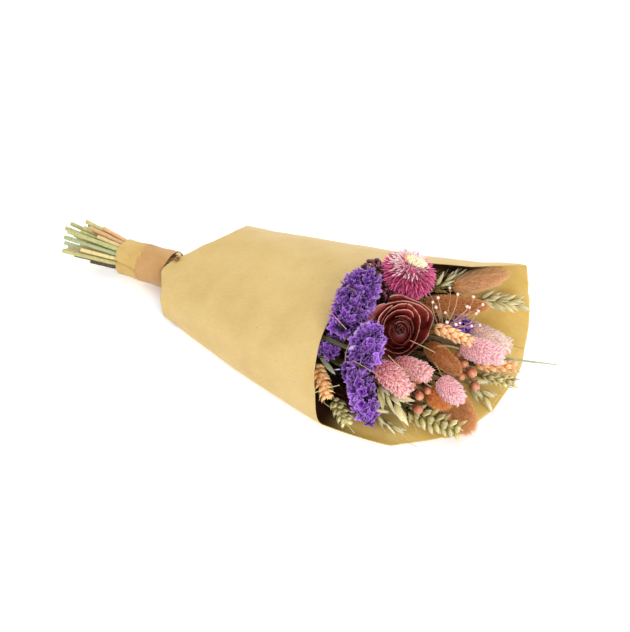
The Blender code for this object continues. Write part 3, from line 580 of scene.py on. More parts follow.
def makeWrapper(settings):
    turn = settings["seamTurn"]
    angle = settings["seamFrom"] + np.linspace(0, turn, int(turn * settings["perDegree"]))[:, None]
    start = curveThrough(settings["narrowEdge"], angle % 360)
    end = curveThrough(settings["flowerEdge"], angle % 360)
    inside = np.linspace(settings["rimWidth"], 1 - settings["rimWidth"], settings["rows"] - 2)
    x = start + (end - start) * np.concatenate([[0], inside, [1]])[None, :]
    outer = paperPoints(x, np.broadcast_to(angle, x.shape), settings)
    lifted = easeIn((angle - settings["liftFrom"]) / settings["liftOver"])
    outer[..., 2] += settings["seamLift"] * lifted
    normal = np.cross(np.gradient(outer, axis=0), np.gradient(outer, axis=1))
    normal /= np.maximum(np.linalg.norm(normal, axis=-1, keepdims=True), 1e-9)
    middle = np.interp(x, settings["stations"], settings["high"]) / 2
    middle = stacked(x, settings["middleY"], middle)
    inward = np.where(((middle - outer) * normal).sum(-1, keepdims=True) > 0, normal, -normal)
    # dents fade at the cut edges, on the far wall and where the paper lies on the table
    arc = angle * settings["arc"]
    dent = np.clip(softWaves(x, arc, 4) + 0.6 * softWaves(x, arc, 8, 7, 26.0) + 0.9, 0, None)
    dent = dent * easeIn(outer[..., 2] / 12)
    dent = dent * (easeIn((end - x) / 34) * 0.9 + 0.1) * (easeIn((x - start) / 24) * 0.9 + 0.1)
    dent = dent * (1 - easeIn((x - 30) / 50) * easeIn(np.cos(np.radians(angle)) + 0.6))
    roll = settings["roll"]
    rolled = np.exp(-((angle % 360 - roll["angle"]) / roll["spread"]) ** 2)
    rolled = roll["high"] * rolled * np.clip(1 - (end - x) / roll["reach"], 0, 1) ** 2
    outer = outer + inward * (dent * settings["crumple"] - rolled)[..., None]
    # share of painted shade on the inner face: high on the far wall, behind the near flap and deep
    # inside
    px, py, pz = outer[..., 0], outer[..., 1], outer[..., 2]
    paintedShade = easeIn((106 - px) / 32) * easeIn((pz - 28) / 12) * easeIn((py - 5) / 25)
    paintedShade = np.maximum(paintedShade, easeIn((60 - px) / 32) * easeIn((-py - 20) / 30))
    paintedShade = np.maximum(paintedShade, easeIn((90 - px) / 40) * easeIn((py + 85) / 20) * 0.9 * (py < 30))
    heap = newHeap()
    addShape(heap, gridShape(outer))
    addShape(heap, flipped(gridShape(outer + inward * settings["thick"], along=paintedShade)), slot=1)
    index = np.arange(x.size).reshape(x.shape)
    ring = np.concatenate([index[:, 0], index[-1, 1:], index[::-1, -1][1:], index[0, ::-1][1:]])
    addFaces(heap, [ring[:-1], ring[1:], ring[1:] + x.size, ring[:-1] + x.size])
    finishPiece("kraftWrapper", heap, [kraftOutside, kraftInsidePaintedLightAndShade],
                ["wrapper_sheet"])


makeWrapper(wrapper)


# corner of the sheet that has curled into a small scroll at the neck

scroll = {"from": (-141.5, -12.0, 36.0), "to": (-138.5, -19.5, 40.5), "radiusMm": (1.5, 2.7),
          "turns": 1.4, "begin": 2.4, "thick": 0.35}


def makeScroll(settings):
    start, end = vec(*settings["from"]), vec(*settings["to"])
    wide = np.linalg.norm(end - start)
    a = np.linspace(0, settings["turns"] * math.tau, 40)[None, :]
    t = np.linspace(0, 1, 8)[:, None]
    wound = np.interp(a, (0, a.max()), settings["radiusMm"]) * (1 + 0.12 * t)
    heap = newHeap()
    for inside in (False, True):
        r = wound - settings["thick"] * inside
        x, y = r * np.cos(a + settings["begin"]), r * np.sin(a + settings["begin"])
        face = gridShape(stacked(x, y, wide * (t + 0.06 * np.sin(a))))
        addShape(heap, flipped(face) if inside else face, turnTo(end - start), start)
    finishPiece("kraftScroll", heap, [kraftOutside])


makeScroll(scroll)


# paper cuff and tape round the neck of the stems

neck = {"x": -150.0, "y": -16.0, "z": 20.0, "slopeY": 0.06, "slopeZ": 0.04}
cuff = {"from": -192.0, "to": -171.0, "radius": 13.5, "wall": 0.7, "creases": 0.6,
        "lap": 2.4, "ragged": (1.0, -1.0), "flare": (0.0, 0.8), "node": "stem_collar"}
tape = {"from": -172.6, "to": -146.5, "radius": 13.7, "wall": 0.7, "creases": 0.35,
        "lap": 0.0, "ragged": (0.0, 0.4), "flare": (0.8, 0.5), "node": "stem_tape"}
bundle = {"x": (-256, -200, -185, -150, -122, -100), "spread": (1.28, 1.0, 0.86, 0.86, 0.96, 1.0),
          "rise": (6.5, 2.2, 1.0, 0.3, 0.0, 0.0), "shorter": 0.99, "lowest": 2.3}


def neckCentre(x):
    run = x - neck["x"]
    return vec(x, neck["y"] + neck["slopeY"] * run, neck["z"] + neck["slopeZ"] * run)


def fanOut(points):
    # the stems are squeezed by the cuff and spread and lift towards their cut ends
    points = np.array(points, float)
    x = points[:, 0].copy()
    middle = np.array([neckCentre(v) for v in x])
    points = middle + (points - middle) * np.interp(x, bundle["x"], bundle["spread"])[:, None]
    rise = np.interp(x, bundle["x"], bundle["rise"])
    points[:, 2] = np.maximum(points[:, 2] + rise, bundle["lowest"])
    past = np.minimum(x - cuff["from"], 0)
    points[:, 0] = x - past * (1 - bundle["shorter"])
    return points


def makeBand(name, settings, material):
    # sleeve of paper: soft facets from the stems under it, a fold line and a wavy cut edge
    rng = np.random.default_rng(3)
    sides, rows = 96, 26
    a = ringOf(sides)
    lumps = sum(np.cos(k * a + rng.uniform(0, 6)) * w
                for k, w in ((3, 0.35), (6, 0.5), (9, 0.25), (13, 0.15)))
    wavy = 0.9 * np.sin(2 * a + 1) + 0.5 * np.sin(5 * a)
    grid = np.zeros((rows, sides, 3))
    for i, t in enumerate(np.linspace(0, 1, rows)):
        x = settings["from"] + (settings["to"] - settings["from"]) * t
        x = x + wavy * (settings["ragged"][0] + settings["ragged"][1] * t)
        flare = 0.9 * abs(t - 0.5) + settings["flare"][0] + settings["flare"][1] * t
        fold = settings["lap"] * np.exp(-((a - 2.8 - 0.2 * t) / 0.07) ** 2)
        fold = fold + 0.5 * np.exp(-((a - 2.0 + 0.9 * t) / 0.09) ** 2)
        ridge = 0.175 * np.sin(a * 2 + 9 * t) * math.sin(math.pi * t)
        r = settings["radius"] + flare + settings["creases"] * (0.5 + lumps * 0.7) + ridge - fold
        centres = np.array([neckCentre(v) for v in x])
        grid[i] = centres + np.stack([np.zeros(sides), r * np.cos(a), r * np.sin(a)], axis=-1)
    inward = grid.mean(axis=1, keepdims=True) - grid
    inward[..., 0] = 0
    inward /= np.linalg.norm(inward, axis=-1, keepdims=True)
    heap = newHeap()
    addShape(heap, gridShape(grid - inward * settings["wall"], wrap=True))
    addShape(heap, flipped(gridShape(grid, wrap=True)))
    n = rows * sides
    for first in (0, n - sides):
        index = first + np.arange(sides)
        after = np.roll(index, -1)
        addFaces(heap, [index, after, after + n, index + n])
    finishPiece(name, heap, [material], [settings["node"]])


makeBand("kraftCuff", cuff, kraftCuff)
makeBand("paperTapeBand", tape, paperTape)


# the flowers: base, tip and widest radius of each head

heads = {
    "statice_1": ((35, -74, 88), (32.5, -19, 96), 13.8),
    "statice_2": ((25, -74, 58), (26, -57, 66), 7.5),
    "statice_3": ((62.5, -94, 82), (58, -65, 97), 11.5),
    "statice_4": ((42, -66, 56), (78, -107, 46), 9.5),
    "statice_5": ((87, 14, 44), (102, 12, 46), 7.0),
    "strawflower": ((51, 3, 80), (58, 7, 102), 21.5),
    "rose": ((61.7, -29.4, 59.6), (71.7, -48.4, 85.6), 24.0),
    "burgundy_buds": ((24, 5, 82), (43, -24, 82), 10.5),
    "bunny_tail_1": ((76, 37, 56), (107, 66, 59), 8.0),
    "bunny_tail_2": ((65, 9, 58), (109, 25, 61), 7.2),
    "bunny_tail_3": ((84, -24, 52), (116, -42, 57), 7.2),
    "bunny_tail_4": ((104, -39, 25), (131, -52, 15.5), 11.5),
    "bunny_tail_5": ((99, -54, 38), (115, -54, 36), 8.2),
    "phalaris_1": ((67, -72, 68), (91, -79, 61), 8.5),
    "phalaris_2": ((74, -60, 62), (99, -62, 66), 7.0),
    "phalaris_3": ((105, -49, 50), (123, -55, 45), 8.0),
    "phalaris_4": ((105, -10, 50), (134, -6, 48), 9.0),
    "phalaris_5": ((92, 22, 34), (132, 20, 33), 9.0),
    "orange_wheat_1": ((84, -17, 66), (117, -18, 65), 6.0),
    "orange_wheat_2": ((114, -3, 27), (145, 10, 27), 5.5),
    "orange_wheat_3": ((18.5, -77.5, 50), (38.5, -94, 35), 8.0),
    "green_wheat_1": ((36, -80, 22), (55, -95, 20), 7.5),
    "green_wheat_2": ((86, -61, 18), (134, -59, 18), 8.0),
    "green_wheat_3": ((119, 1, 13), (148, 7, 13), 6.5),
    "oat_1": ((65, 33, 54), (80, 52, 58), 6.5),
    "oat_2": ((94, 52, 38), (132, 65, 40), 8.0),
    "oat_3": ((62, -67, 46), (94, -82, 42), 7.5),
    "oat_4": ((112, -13, 17), (138, -19, 13), 7.0),
    "oat_5": ((64, -74, 20), (90, -80, 13), 5.0),
    "flax_1": ((84, -58, 48), (101, -62, 47), 6.5),
    "flax_2": ((98, -11, 38), (122, -25, 35), 7.0),
    "flax_3": ((91, -68, 35), (97, -67, 32), 4.0),
    "baby_breath": ((88, -10, 46), (90, -9, 62), 2.0),
    "grass_awn": ((126, 18, 20), (168.5, 32.5, 20), 0.9),
    "filler_stem_1": ((24, 22, 4.3), (34, 28, 5), 1.8),
    "filler_stem_2": ((46, 8, 16), (60, 10, 18), 1.8),
    "filler_stem_3": ((28, -38, 4.3), (42, -44, 5), 1.8),
}
stemEnds = {"statice_1": (40, -47, 82), "statice_3": (59, -79, 81), "burgundy_buds": (33, -8, 70)}
stemTints = {"statice_1": "straw", "statice_2": "moss", "statice_3": "olive", "statice_4": "moss",
             "statice_5": "sage", "strawflower": "peach", "rose": "sage", "burgundy_buds": "peach",
             "bunny_tail": "tan", "bunny_tail_1": "moss", "bunny_tail_2": "peach",
             "bunny_tail_3": "olive", "bunny_tail_4": "bark", "phalaris": "tan",
             "phalaris_1": "straw", "phalaris_5": "sage", "orange_wheat": "olive",
             "orange_wheat_2": "bark", "green_wheat": "moss", "green_wheat_3": "sage",
             "oat": "tan", "oat_1": "moss", "oat_2": "olive", "oat_5": "bark", "oat_4": "straw",
             "flax": "tan", "flax_2": "olive", "flax_3": "bark", "baby_breath": "olive",
             "grass_awn": "blade", "filler_stem": "bark"}
stemTrims = {"statice_2": 5, "flax_3": 14, "bunny_tail_4": 22, "oat_5": 20, "orange_wheat_1": 6,
             "baby_breath": 5, "rose": 4, "statice_4": 3}     # mm off the cut end
stemRadii = {"high": 1.65, "low": 1.5, "highFrom": 14, "baby_breath": 1.1}
ownStems = ("rose", "strawflower")     # heads whose stem is a piece of its own


def kindOf(name):
    return name.rsplit("_", 1)[0] if name[-1].isdigit() else name


def headFrame(name):
    base, tip, radius = heads[name]
    base, tip = vec(*base), vec(*tip)
    length = np.linalg.norm(tip - base)
    axis = (tip - base) / length
    return base, axis, length, radius, turnTo(axis)


def stemLine(node, stop, step=8.0, reach=4.2):
    # centre line of the stem, from slices of its solid along X
    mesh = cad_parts[node].data
    co = np.zeros(len(mesh.vertices) * 3)
    mesh.vertices.foreach_get("co", co)
    co = co.reshape(-1, 3) * 1000
    pairs = np.zeros(len(mesh.edges) * 2, np.int32)
    mesh.edges.foreach_get("vertices", pairs)
    a, b = co[pairs[::2]], co[pairs[1::2]]
    x = co[:, 0].min() + 0.5
    line, guess = [], None
    while x < stop:
        cut = (a[:, 0] - x) * (b[:, 0] - x) < 0
        share = (x - a[cut, 0]) / (b[cut, 0] - a[cut, 0])
        hits = a[cut] + (b - a)[cut] * share[:, None]
        if guess is not None:
            hits = hits[np.linalg.norm(hits - guess, axis=1) < reach]
        if len(hits) < 3:
            break
        line.append((hits.min(0) + hits.max(0)) / 2)
        slope = line[-1] - line[-2] if len(line) > 1 else vec(step, 0, 0)
        guess = line[-1] + slope
        x += step
    return line


def addStem(heap, name, node, slot, tone):
    # ribbed stem with a faint swelling at its nodes and a pale cut end
    base, axis, length, *_ = headFrame(name)
    end = vec(*stemEnds[name]) if name in stemEnds else base
    line = stemLine(node, end[0] - 7)
    if node == name:
        line.append(end)
        if kindOf(name) != "filler_stem":
            line.append(end + (base + axis * length * 0.5 - end) * 0.5)
    else:
        line.append(end - axis * 0.5)
    cut = line[0][0] + stemTrims.get(name, -1)
    line = fanOut(smoothLine([p for p in line if p[0] > cut], 3))
    thick = stemRadii["high"] if line[0][2] > stemRadii["highFrom"] else stemRadii["low"]
    thick = stemRadii.get(name, thick)
    rng = np.random.default_rng(sum(map(ord, name)))
    radii = thick * (1 + 0.05 * rng.standard_normal(len(line)))
    radii[:2] = thick * 1.02
    radii[-4:] *= (0.95, 0.85, 0.75, 0.6)
    addShape(heap, tubeShape(line, radii, 12, ribs=0.05, capped=False), tone=tone, slot=slot)
    disc = tubeShape([line[0] + vec(x, 0, 0) for x in (0.25, -0.05, -0.1)],
                     [thick, thick * 0.97, thick * 0.8], 12)
    addShape(heap, disc, tone=tone, slot=slot + 1)


def scatter(turn, count, start=0.02, end=0.98):
    # even places round a spike, from root to tip
    for i in range(count):
        t = start + (end - start) * (i + 0.5) / count
        a = i * goldenAngle
        side = outward(turn, a)
        yield i, t, a, side


def addStatice(heap, name, count, cupSize, seed, flare=0.0):
    # ruffled five-lobed paper cups crowded round a stalk
    base, axis, length, radius, turn = headFrame(name)
    rng = np.random.default_rng(seed)
    cups = []
    for _ in range(8):
        t = np.linspace(0, 1, 6)[:, None]
        a = ringOf(30)[None, :]
        phase = rng.uniform(0, math.tau)
        r = 0.12 + 0.36 * t + 0.72 * t ** 2.4
        r = r * (1 + 0.20 * t * np.cos(5 * a + phase) + 0.12 * t ** 2 * np.cos(10 * a + 2 * phase))
        lobes = 0.5 + 0.5 * np.cos(5 * a + phase)
        z = 1.5 * t ** 0.8 - 0.30 * t ** 3 * (1 - lobes)
        z = z + 0.13 * t ** 3 * rng.standard_normal(a.shape)
        r = r + 0.10 * t ** 2 * rng.standard_normal(a.shape)
        r = r * (1 + 0.25 * np.cos(a + 2 * phase))
        z = z + 0.35 * t ** 2 * np.cos(2 * a + 3 * phase)
        # each cup runs from a painted-shade foot to a painted-light rim
        cups.append(gridShape(stacked(r * np.cos(a), r * np.sin(a), z),
                              along=0.25 + 0.75 * t, edge=t, wrap=True))
    addShape(heap, spindleShape(length * 0.95, radius * 0.36, 10, 8), turn, base, slot=1, tone=0.1)
    for i, t, a, side in scatter(turn, count):
        girth = math.sin(math.pi * (0.12 + 0.80 * t)) ** 0.5 * (1 + flare * (t - 0.5))
        lean = unit(side + axis * (0.15 + 0.9 * t ** 1.5) + rng.normal(0, 0.36, 3))
        root = base + axis * length * (0.03 + 0.9 * t) + side * radius * 0.34 * girth
        size = cupSize * rng.uniform(0.75, 1.2) * girth ** 0.3
        reach = (radius * (0.5 + 0.5 * girth) - radius * 0.34) / 1.5 * rng.uniform(0.7, 1.15)
        tone = rng.uniform(0, 1)
        addShape(heap, cups[i % 8], turnTo(lean, a), root,
                 (size, size * rng.uniform(0.7, 1), reach), tone=tone)
        # a smaller ruffle inside each cup
        addShape(heap, cups[(i + 3) % 8], turnTo(lean + rng.normal(0, 0.15, 3), a + 1.0),
                 root + lean * reach * 0.45, (size * 0.62, size * 0.62, reach * 0.62), tone=tone)


def addStrawflower(heap, name, rows, florets, disc, seed):
    # everlasting: a dome of fine stiff bracts, pale round a small sunken disc
    base, axis, length, radius, turn = headFrame(name)
    rng = np.random.default_rng(seed)
    bracts = [petalShape(1.0, wide, 7, 4, cup=0.5, curl=curl, widest=0.5, tip=1.1, keel=0.3)
              for wide, curl in ((0.15, 0.7), (0.17, 0.35), (0.14, 0.9), (0.16, 0.1))]
    heart = base + axis * length * 0.34
    high = length * 0.66
    core = spindleShape(length * 0.84, radius * 0.62, 18, 12, belly=0.42)
    addShape(heap, core, turn, base, tone=0.1)
    old = unit((-0.9, -0.35, 0.1))         # bleached on this side
    for row in range(rows):
        polar = math.radians(122 - 100 * row / (rows - 1))
        count = int(26 + 40 * math.sin(polar))
        for i in range(count):
            a = math.tau * (i + 0.5 * (row % 2) + rng.uniform(-0.3, 0.3)) / count
            out = outward(turn, a)
            bent = polar + rng.uniform(-0.08, 0.08)
            wide, up = radius * math.sin(bent), high * math.cos(bent)
            tip = heart + out * wide * rng.uniform(0.93, 1.05) + axis * up
            foot = heart + out * wide * 0.46 + axis * (up * 0.62 - 1)
            along = unit(tip - foot)
            back = unit(axis * math.sin(bent) - out * math.cos(bent) * 0.6 - along * 0.2)
            back = unit(back - along * (back @ along))
            pale = row / (rows - 1) + 0.20 * (out @ old) + rng.uniform(-0.10, 0.10)
            size = np.linalg.norm(tip - foot) * rng.uniform(0.95, 1.1)
            addShape(heap, bracts[i % 4], np.stack([np.cross(back, along), -back, along], 1), foot,
                     size, tone=rng.uniform(0, 1), slot=int(pale > 0.76))
    floret = spindleShape(1.0, 0.22, 6, 4, belly=0.7, blunt=0.5)
    wide = unit(np.cross(axis, np.cross((0.83, 0.30, -0.46), axis)))     # the disc is oval
    slim = np.cross(axis, wide)
    for i in range(florets):
        r = math.sqrt((i + 0.5) / florets)
        a = i * goldenAngle
        out = wide * math.cos(a) * disc[0] * r + slim * math.sin(a) * disc[1] * r
        lean = unit(axis + out / 14 + rng.normal(0, 0.08, 3))
        addShape(heap, floret, turnTo(lean, a), heart + axis * (high * 0.95 - 3.2 - 1.6 * r) + out,
                 (3.0, 3.0, 5.0), tone=rng.uniform(0, 1),
                 slot=3 if r > 0.9 and out @ old > 4.6 else 2)


rosePetals = (    # rim seen from above, rim heights, belly reach and belly height, mm
    (((-4.9, -1), (-4.7, 1.6), (-3.8, 3.9), (-0.9, 5.2), (2.4, 4.7), (4.9, 2), (5.6, -2.4)),
     (32, 33, 32), (6, 5, 6), 20),
    (((-5.4, 4.2), (-2.6, 6.4), (0.4, 7.0), (4.6, 5.0), (7.2, -0.5), (6.6, -5.7), (2.8, -10.0)),
     (30, 32, 30.5), (8, 7, 9), 18),
    (((6.0, -7.4), (2.4, -10.4), (-2.4, -9.6), (-6.0, -6.4), (-7.0, -1.6), (-5.6, 2.6)),
     (29, 30.5, 31), (12, 13, 11), 20),
    (((3.0, -12), (-4.0, -12.6), (-9.4, -8.8), (-11.4, -3), (-9.8, 2.6)), (27, 27.5, 29),
     (15, 16, 15), 17),
    (((-3.4, 8.8), (0.6, 9.6), (4.6, 8.8), (7.6, 6.4), (9.0, 2.6), (9.2, -2.4)), (30, 30.5, 29),
     (8, 8.5, 9), 16),
    (((-12.0, -2), (-11.4, 2.6), (-9.8, 7.4), (-6.4, 11.0), (-1.9, 13.2), (3.8, 13.9),
     (7.9, 12.6), (9.6, 8.9)), (26, 29, 28), (13, 12, 11), 16),
    (((-13.6, -4), (-13.0, 2.2), (-11.2, 8.2), (-5.7, 14.8), (0, 17.9), (5.0, 18.4)),
     (24, 28, 27), (15, 14, 13), 14),
    (((5.6, 18.6), (8.6, 16.4), (11.2, 13.4), (13.4, 9.4), (14.0, 5), (12.9, -1), (10.9, -6.8),
     (7.6, -12.4)), (27, 29.5, 27), (12, 13, 12), 14),
    (((8.2, -12.2), (3.0, -15.6), (-3.4, -16.4), (-9.4, -13.6), (-13.4, -8.4)), (24, 25, 24),
     (16, 18, 17), 14),
    (((-16.6, 15.6), (-9.6, 18.6), (-2.8, 20.3), (2.6, 20.6), (8.6, 19.4), (14.8, 17),
     (19.0, 13.8), (20.4, 10.2), (19.6, 6.4)), (20, 25.5, 25), (15, 16, 17), 9),
    (((-6.6, 24.4), (-3.2, 25.4), (1.4, 25.4), (7.9, 22.4), (15.6, 19.1), (21.7, 14.4),
     (24.3, 8.8), (22.6, 3.6), (20.6, -1.5)), (18, 22, 22), (17, 19, 20), 7),
    (((21.6, 2.2), (20.2, -3.6), (16.4, -8.4), (10.4, -13.2), (4.7, -18.4), (-2, -20.4)),
     (19, 22, 18), (16, 17, 18), 8),
    (((-3.6, -20.6), (-11, -19.6), (-17.4, -14.8), (-21.4, -8)), (15, 17, 16), (17, 19, 18), 9),
    (((-21.6, -7.6), (-23.6, -1), (-24.0, 5.4), (-22.6, 11.4), (-17.8, 16.2), (-10.4, 19.2)),
     (16, 18.5, 22), (15, 16, 15), 20),
    (((-15.2, -4), (-15.8, 1.6), (-14.6, 8.2), (-10.4, 13.8), (-5.0, 17.6)), (22, 25, 25.5),
     (13, 13, 13), 15))
roseBud = (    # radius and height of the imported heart
    (4, 2), (9, 8), (11.2, 15), (10.6, 20), (8.4, 23.5), (6.0, 25.8), (4.0, 26.8), (2.2, 27.3),
    (0.3, 27.5))
roseCoils = (    # radius from and to, turns, where it begins, centre
    (0.5, 4.4, 2.1, 2.2, (0, 0)), (0.3, 1.7, 1.0, 5.0, (0.3, 0.3)),
    (0.4, 1.2, 0.8, 0.5, (-1.5, -1.7)), (0.4, 1.3, 0.8, 3.4, (1.6, -1.4)))
roseTall = 33    # height of the tallest rim in these tables


def rosePetal(rim, heights, belly, bellyHigh, lip, seed):
    # one petal: from a foot near the axis, out through its belly and up to its rim
    rng = np.random.default_rng(seed)
    foot, cols = 4.5, 26     # reach of the foot in mm, points along the rim
    rimLine = smoothLine(np.array([(x, y, 0) for x, y in rim], float), 6)
    steps = np.linspace(0, 1, len(rimLine))
    u = np.linspace(0, 1, cols)
    rx, ry = np.interp(u, steps, rimLine[:, 0]), np.interp(u, steps, rimLine[:, 1])
    high = np.interp(u, np.linspace(0, 1, len(heights)), heights)
    high = high + 0.3 * np.sin(11 * u + seed) + 0.2 * rng.standard_normal(cols)
    around = np.arctan2(ry, rx)
    reach = np.hypot(rx, ry)
    s = np.concatenate([np.linspace(0, 0.95, 14), [0.975, 0.99, 1.0]])[:, None]
    bellyOut = np.interp(u, np.linspace(0, 1, len(belly)), belly)
    r = (1 - s) ** 2 * foot + 2 * s * (1 - s) * bellyOut + s ** 2 * reach
    z = (1 - s) ** 2 * 1.5 + 2 * s * (1 - s) * bellyHigh + s ** 2 * high
    curled = np.clip((s - 0.95) / 0.05, 0, 1)
    r, z = r + lip * curled ** 0.7, z - 0.6 * lip * curled ** 2
    fold = np.sin(9 * u + 5 * s + seed) + 0.6 * np.sin(23 * u - 3 * s + 2 * seed)
    r = r + 0.3 * fold * s * (1 - s) * 4 + 0.12 * rng.standard_normal(cols) * s
    sides = np.abs(2 * u - 1)[None, :] ** 14
    points = stacked(r * np.cos(around), r * np.sin(around), z - 1.2 * sides * s)
    # the last rows take the pale rim colour, partly painted highlight
    return gridShape(points, along=np.where(s > 0.97, 1.0, s * 0.95))


def addRose(heap, name):
    # leathery petals round a tight coil; the axis points straight out of the open flower
    base, axis, length, _, turn = headFrame(name)
    swelling = spindleShape(length * 0.34, 6.6, 14, 8, belly=0.5)
    addShape(heap, swelling, turn, base, slot=1, tone=0.4)
    sepal = petalShape(13, 5, 7, 5, cup=0.4, curl=-0.6)
    for i in range(5):
        a = math.tau * i / 5
        out = outward(turn, a)
        addShape(heap, sepal, turnTo(out + axis * 0.25), base + axis * 5 + out * 4,
                 slot=1, tone=0.6)
    shift = length - 0.5 - roseTall
    a = ringOf(36)[None, :]
    r, z = np.array(roseBud)[:, :1], np.array(roseBud)[:, 1:] + shift
    r = r * (1 + 0.03 * np.sin(5 * a) + 0.02 * np.sin(11 * a + 1))
    heart = stacked(r * np.cos(a) - 0.4, r * np.sin(a) - 0.6, z)
    addShape(heap, gridShape(heart, along=0.45, wrap=True), turn, base, tone=0.3)
    for small, wide, turns, begin, (cx, cy) in roseCoils:
        u = np.linspace(0, 1, int(60 * turns) + 8)[None, :]     # wound like a scroll
        s = np.linspace(0, 1, 10)[:, None]
        a = begin - u * math.tau * turns
        r = small + (wide - small) * u ** 0.85 + 0.5 * s ** 3 * u
        r = r * (1 + 0.10 * np.sin(3 * a + begin) * s)
        z = 24 + shift + (8.8 - 0.9 * u) * s + 0.45 * np.sin(5 * a + begin) * s ** 3
        coil = stacked(cx + r * np.cos(a), cy + r * np.sin(a), z)
        # the coil rims take the pale rim colour, partly painted highlight
        coil = gridShape(coil, along=np.where(s > 0.85, 1.0, 0.3 + 0.65 * s))
        addShape(heap, coil, turn, base, tone=0.8)
    for i, (rim, heights, belly, bellyHigh) in enumerate(rosePetals):
        sheet = rosePetal(rim, [h + shift for h in heights], belly, bellyHigh,
                          lip=0.3 if i < 5 else 0.6, seed=i)
        addShape(heap, sheet, turn, base, tone=0.3 + 0.7 * ((i * 7) % 10) / 10)


def addBuds(heap, name, count, seed):
    # small five-ribbed buds crowded round a core
    base, axis, length, radius, turn = headFrame(name)
    rng = np.random.default_rng(seed)
    bead = spindleShape(1.0, 0.5, 10, 7, belly=0.5, blunt=0.62, ridge=0.05, ridges=5)
    addShape(heap, spindleShape(length, radius * 0.6, 10, 8), turn, base, tone=0.1)
    for _, t, a, side in scatter(turn, count, start=-0.06, end=1.06):
        girth = math.sin(math.pi * (0.14 + 0.72 * min(1, max(0, t)))) ** 0.6
        centre = base + axis * length * t + side * radius * girth * rng.uniform(0.7, 1.1)
        size = rng.uniform(2.3, 3.3)
        lean = side + axis * 0.4 + rng.normal(0, 0.4, 3)
        addShape(heap, bead, turnTo(lean, a), centre - side * 1.2, (size, size, size * 1.15),
                 tone=rng.uniform(0, 1))


def addPlume(heap, name, hairs, hairMm, seed, blunt=0.62, droop=0.55):
    # bunny tail: an ovoid core under a coat of fine hairs swept to the tip
    base, axis, length, radius, turn = headFrame(name)
    rng = np.random.default_rng(seed)
    core = radius - hairMm * 0.42
    body = spindleShape(length * 0.97, core, 20, 16, belly=0.42, blunt=blunt)
    addShape(heap, body, turn, base, tone=0.35)
    t = rng.uniform(0, 1, hairs) ** 0.9
    a = rng.uniform(0, math.tau, hairs)
    girth = np.sin(math.pi * np.clip(t, 0.001, 1) ** (math.log(0.5) / math.log(0.42))) ** blunt
    side = (turn @ np.stack([np.cos(a), np.sin(a), np.zeros(hairs)])).T
    root = base + axis * (length * 0.97 * t)[:, None] + side * (core * girth * 0.97)[:, None]
    tipward = np.clip(t - 0.8, 0, 1)[:, None] * 4
    away = side * (1 - 0.6 * tipward) + axis * (droop + tipward) + rng.normal(0, 0.26, (hairs, 3))
    away /= np.linalg.norm(away, axis=1, keepdims=True)
    size = hairMm * rng.uniform(0.6, 1.05, hairs)[:, None]
    across = np.cross(away, rng.normal(0, 1, (hairs, 3)))
    across /= np.linalg.norm(across, axis=1, keepdims=True)
    mid = root + away * size * 0.55
    tip = root + away * size + (axis * 0.35 - side * 0.10) * size * 0.6
    verts = np.stack([root - across * 0.10, root + across * 0.10, mid + across * 0.07,
                      mid - across * 0.07, tip], axis=1).reshape(-1, 3)
    first = np.arange(hairs)[:, None] * 5
    marks = np.zeros((hairs, 5, 3))
    marks[..., 0] = rng.uniform(0, 1, hairs)[:, None]
    marks[..., 1] = (0.25, 0.25, 0.65, 0.65, 1.0)
    addShape(heap, (verts, [first + np.array([0, 1, 2, 3]), first + np.array([3, 2, 4])],
                    marks.reshape(-1, 3)))


def addCanary(heap, name, count, seed, deep=0.0):
    # canary grass: fat spike of overlapping boat-shaped scales with bleached points; the dye is
    # strongest over the deep share at its foot
    base, axis, length, radius, turn = headFrame(name)
    rng = np.random.default_rng(seed)
    scale = petalShape(1.0, 0.46, 7, 5, cup=0.5, curl=0.45, widest=0.45, tip=1.2, keel=0.5)
    core = spindleShape(length * 0.94, radius * 0.82, 16, 12, belly=0.42, blunt=0.6)
    addShape(heap, core, turn, base, tone=0.9)
    for _, t, _, side in scatter(turn, count, start=0.0, end=1.0):
        girth = math.sin(math.pi * min(1, 0.04 + 0.96 * t) ** 0.8) ** 0.55
        lift = 0.75 - 0.35 * t
        along = unit(axis + side * lift + rng.normal(0, 0.16, 3))
        across = unit(np.cross(side, along))
        back = np.cross(along, across)
        size = min(4.2, length * 0.19) * rng.uniform(0.8, 1.2) * (0.85 + 1.0 * t ** 3)
        root = base + axis * (length * (0.95 * t - 0.04)) + side * radius * 0.76 * girth
        addShape(heap, scale, np.stack([across, back * (1 if back @ side > 0 else -1), along], 1),
                 root, size, tone=rng.uniform(0, 1),
                 slot=int(t + rng.uniform(-0.25, 0.25) < deep))


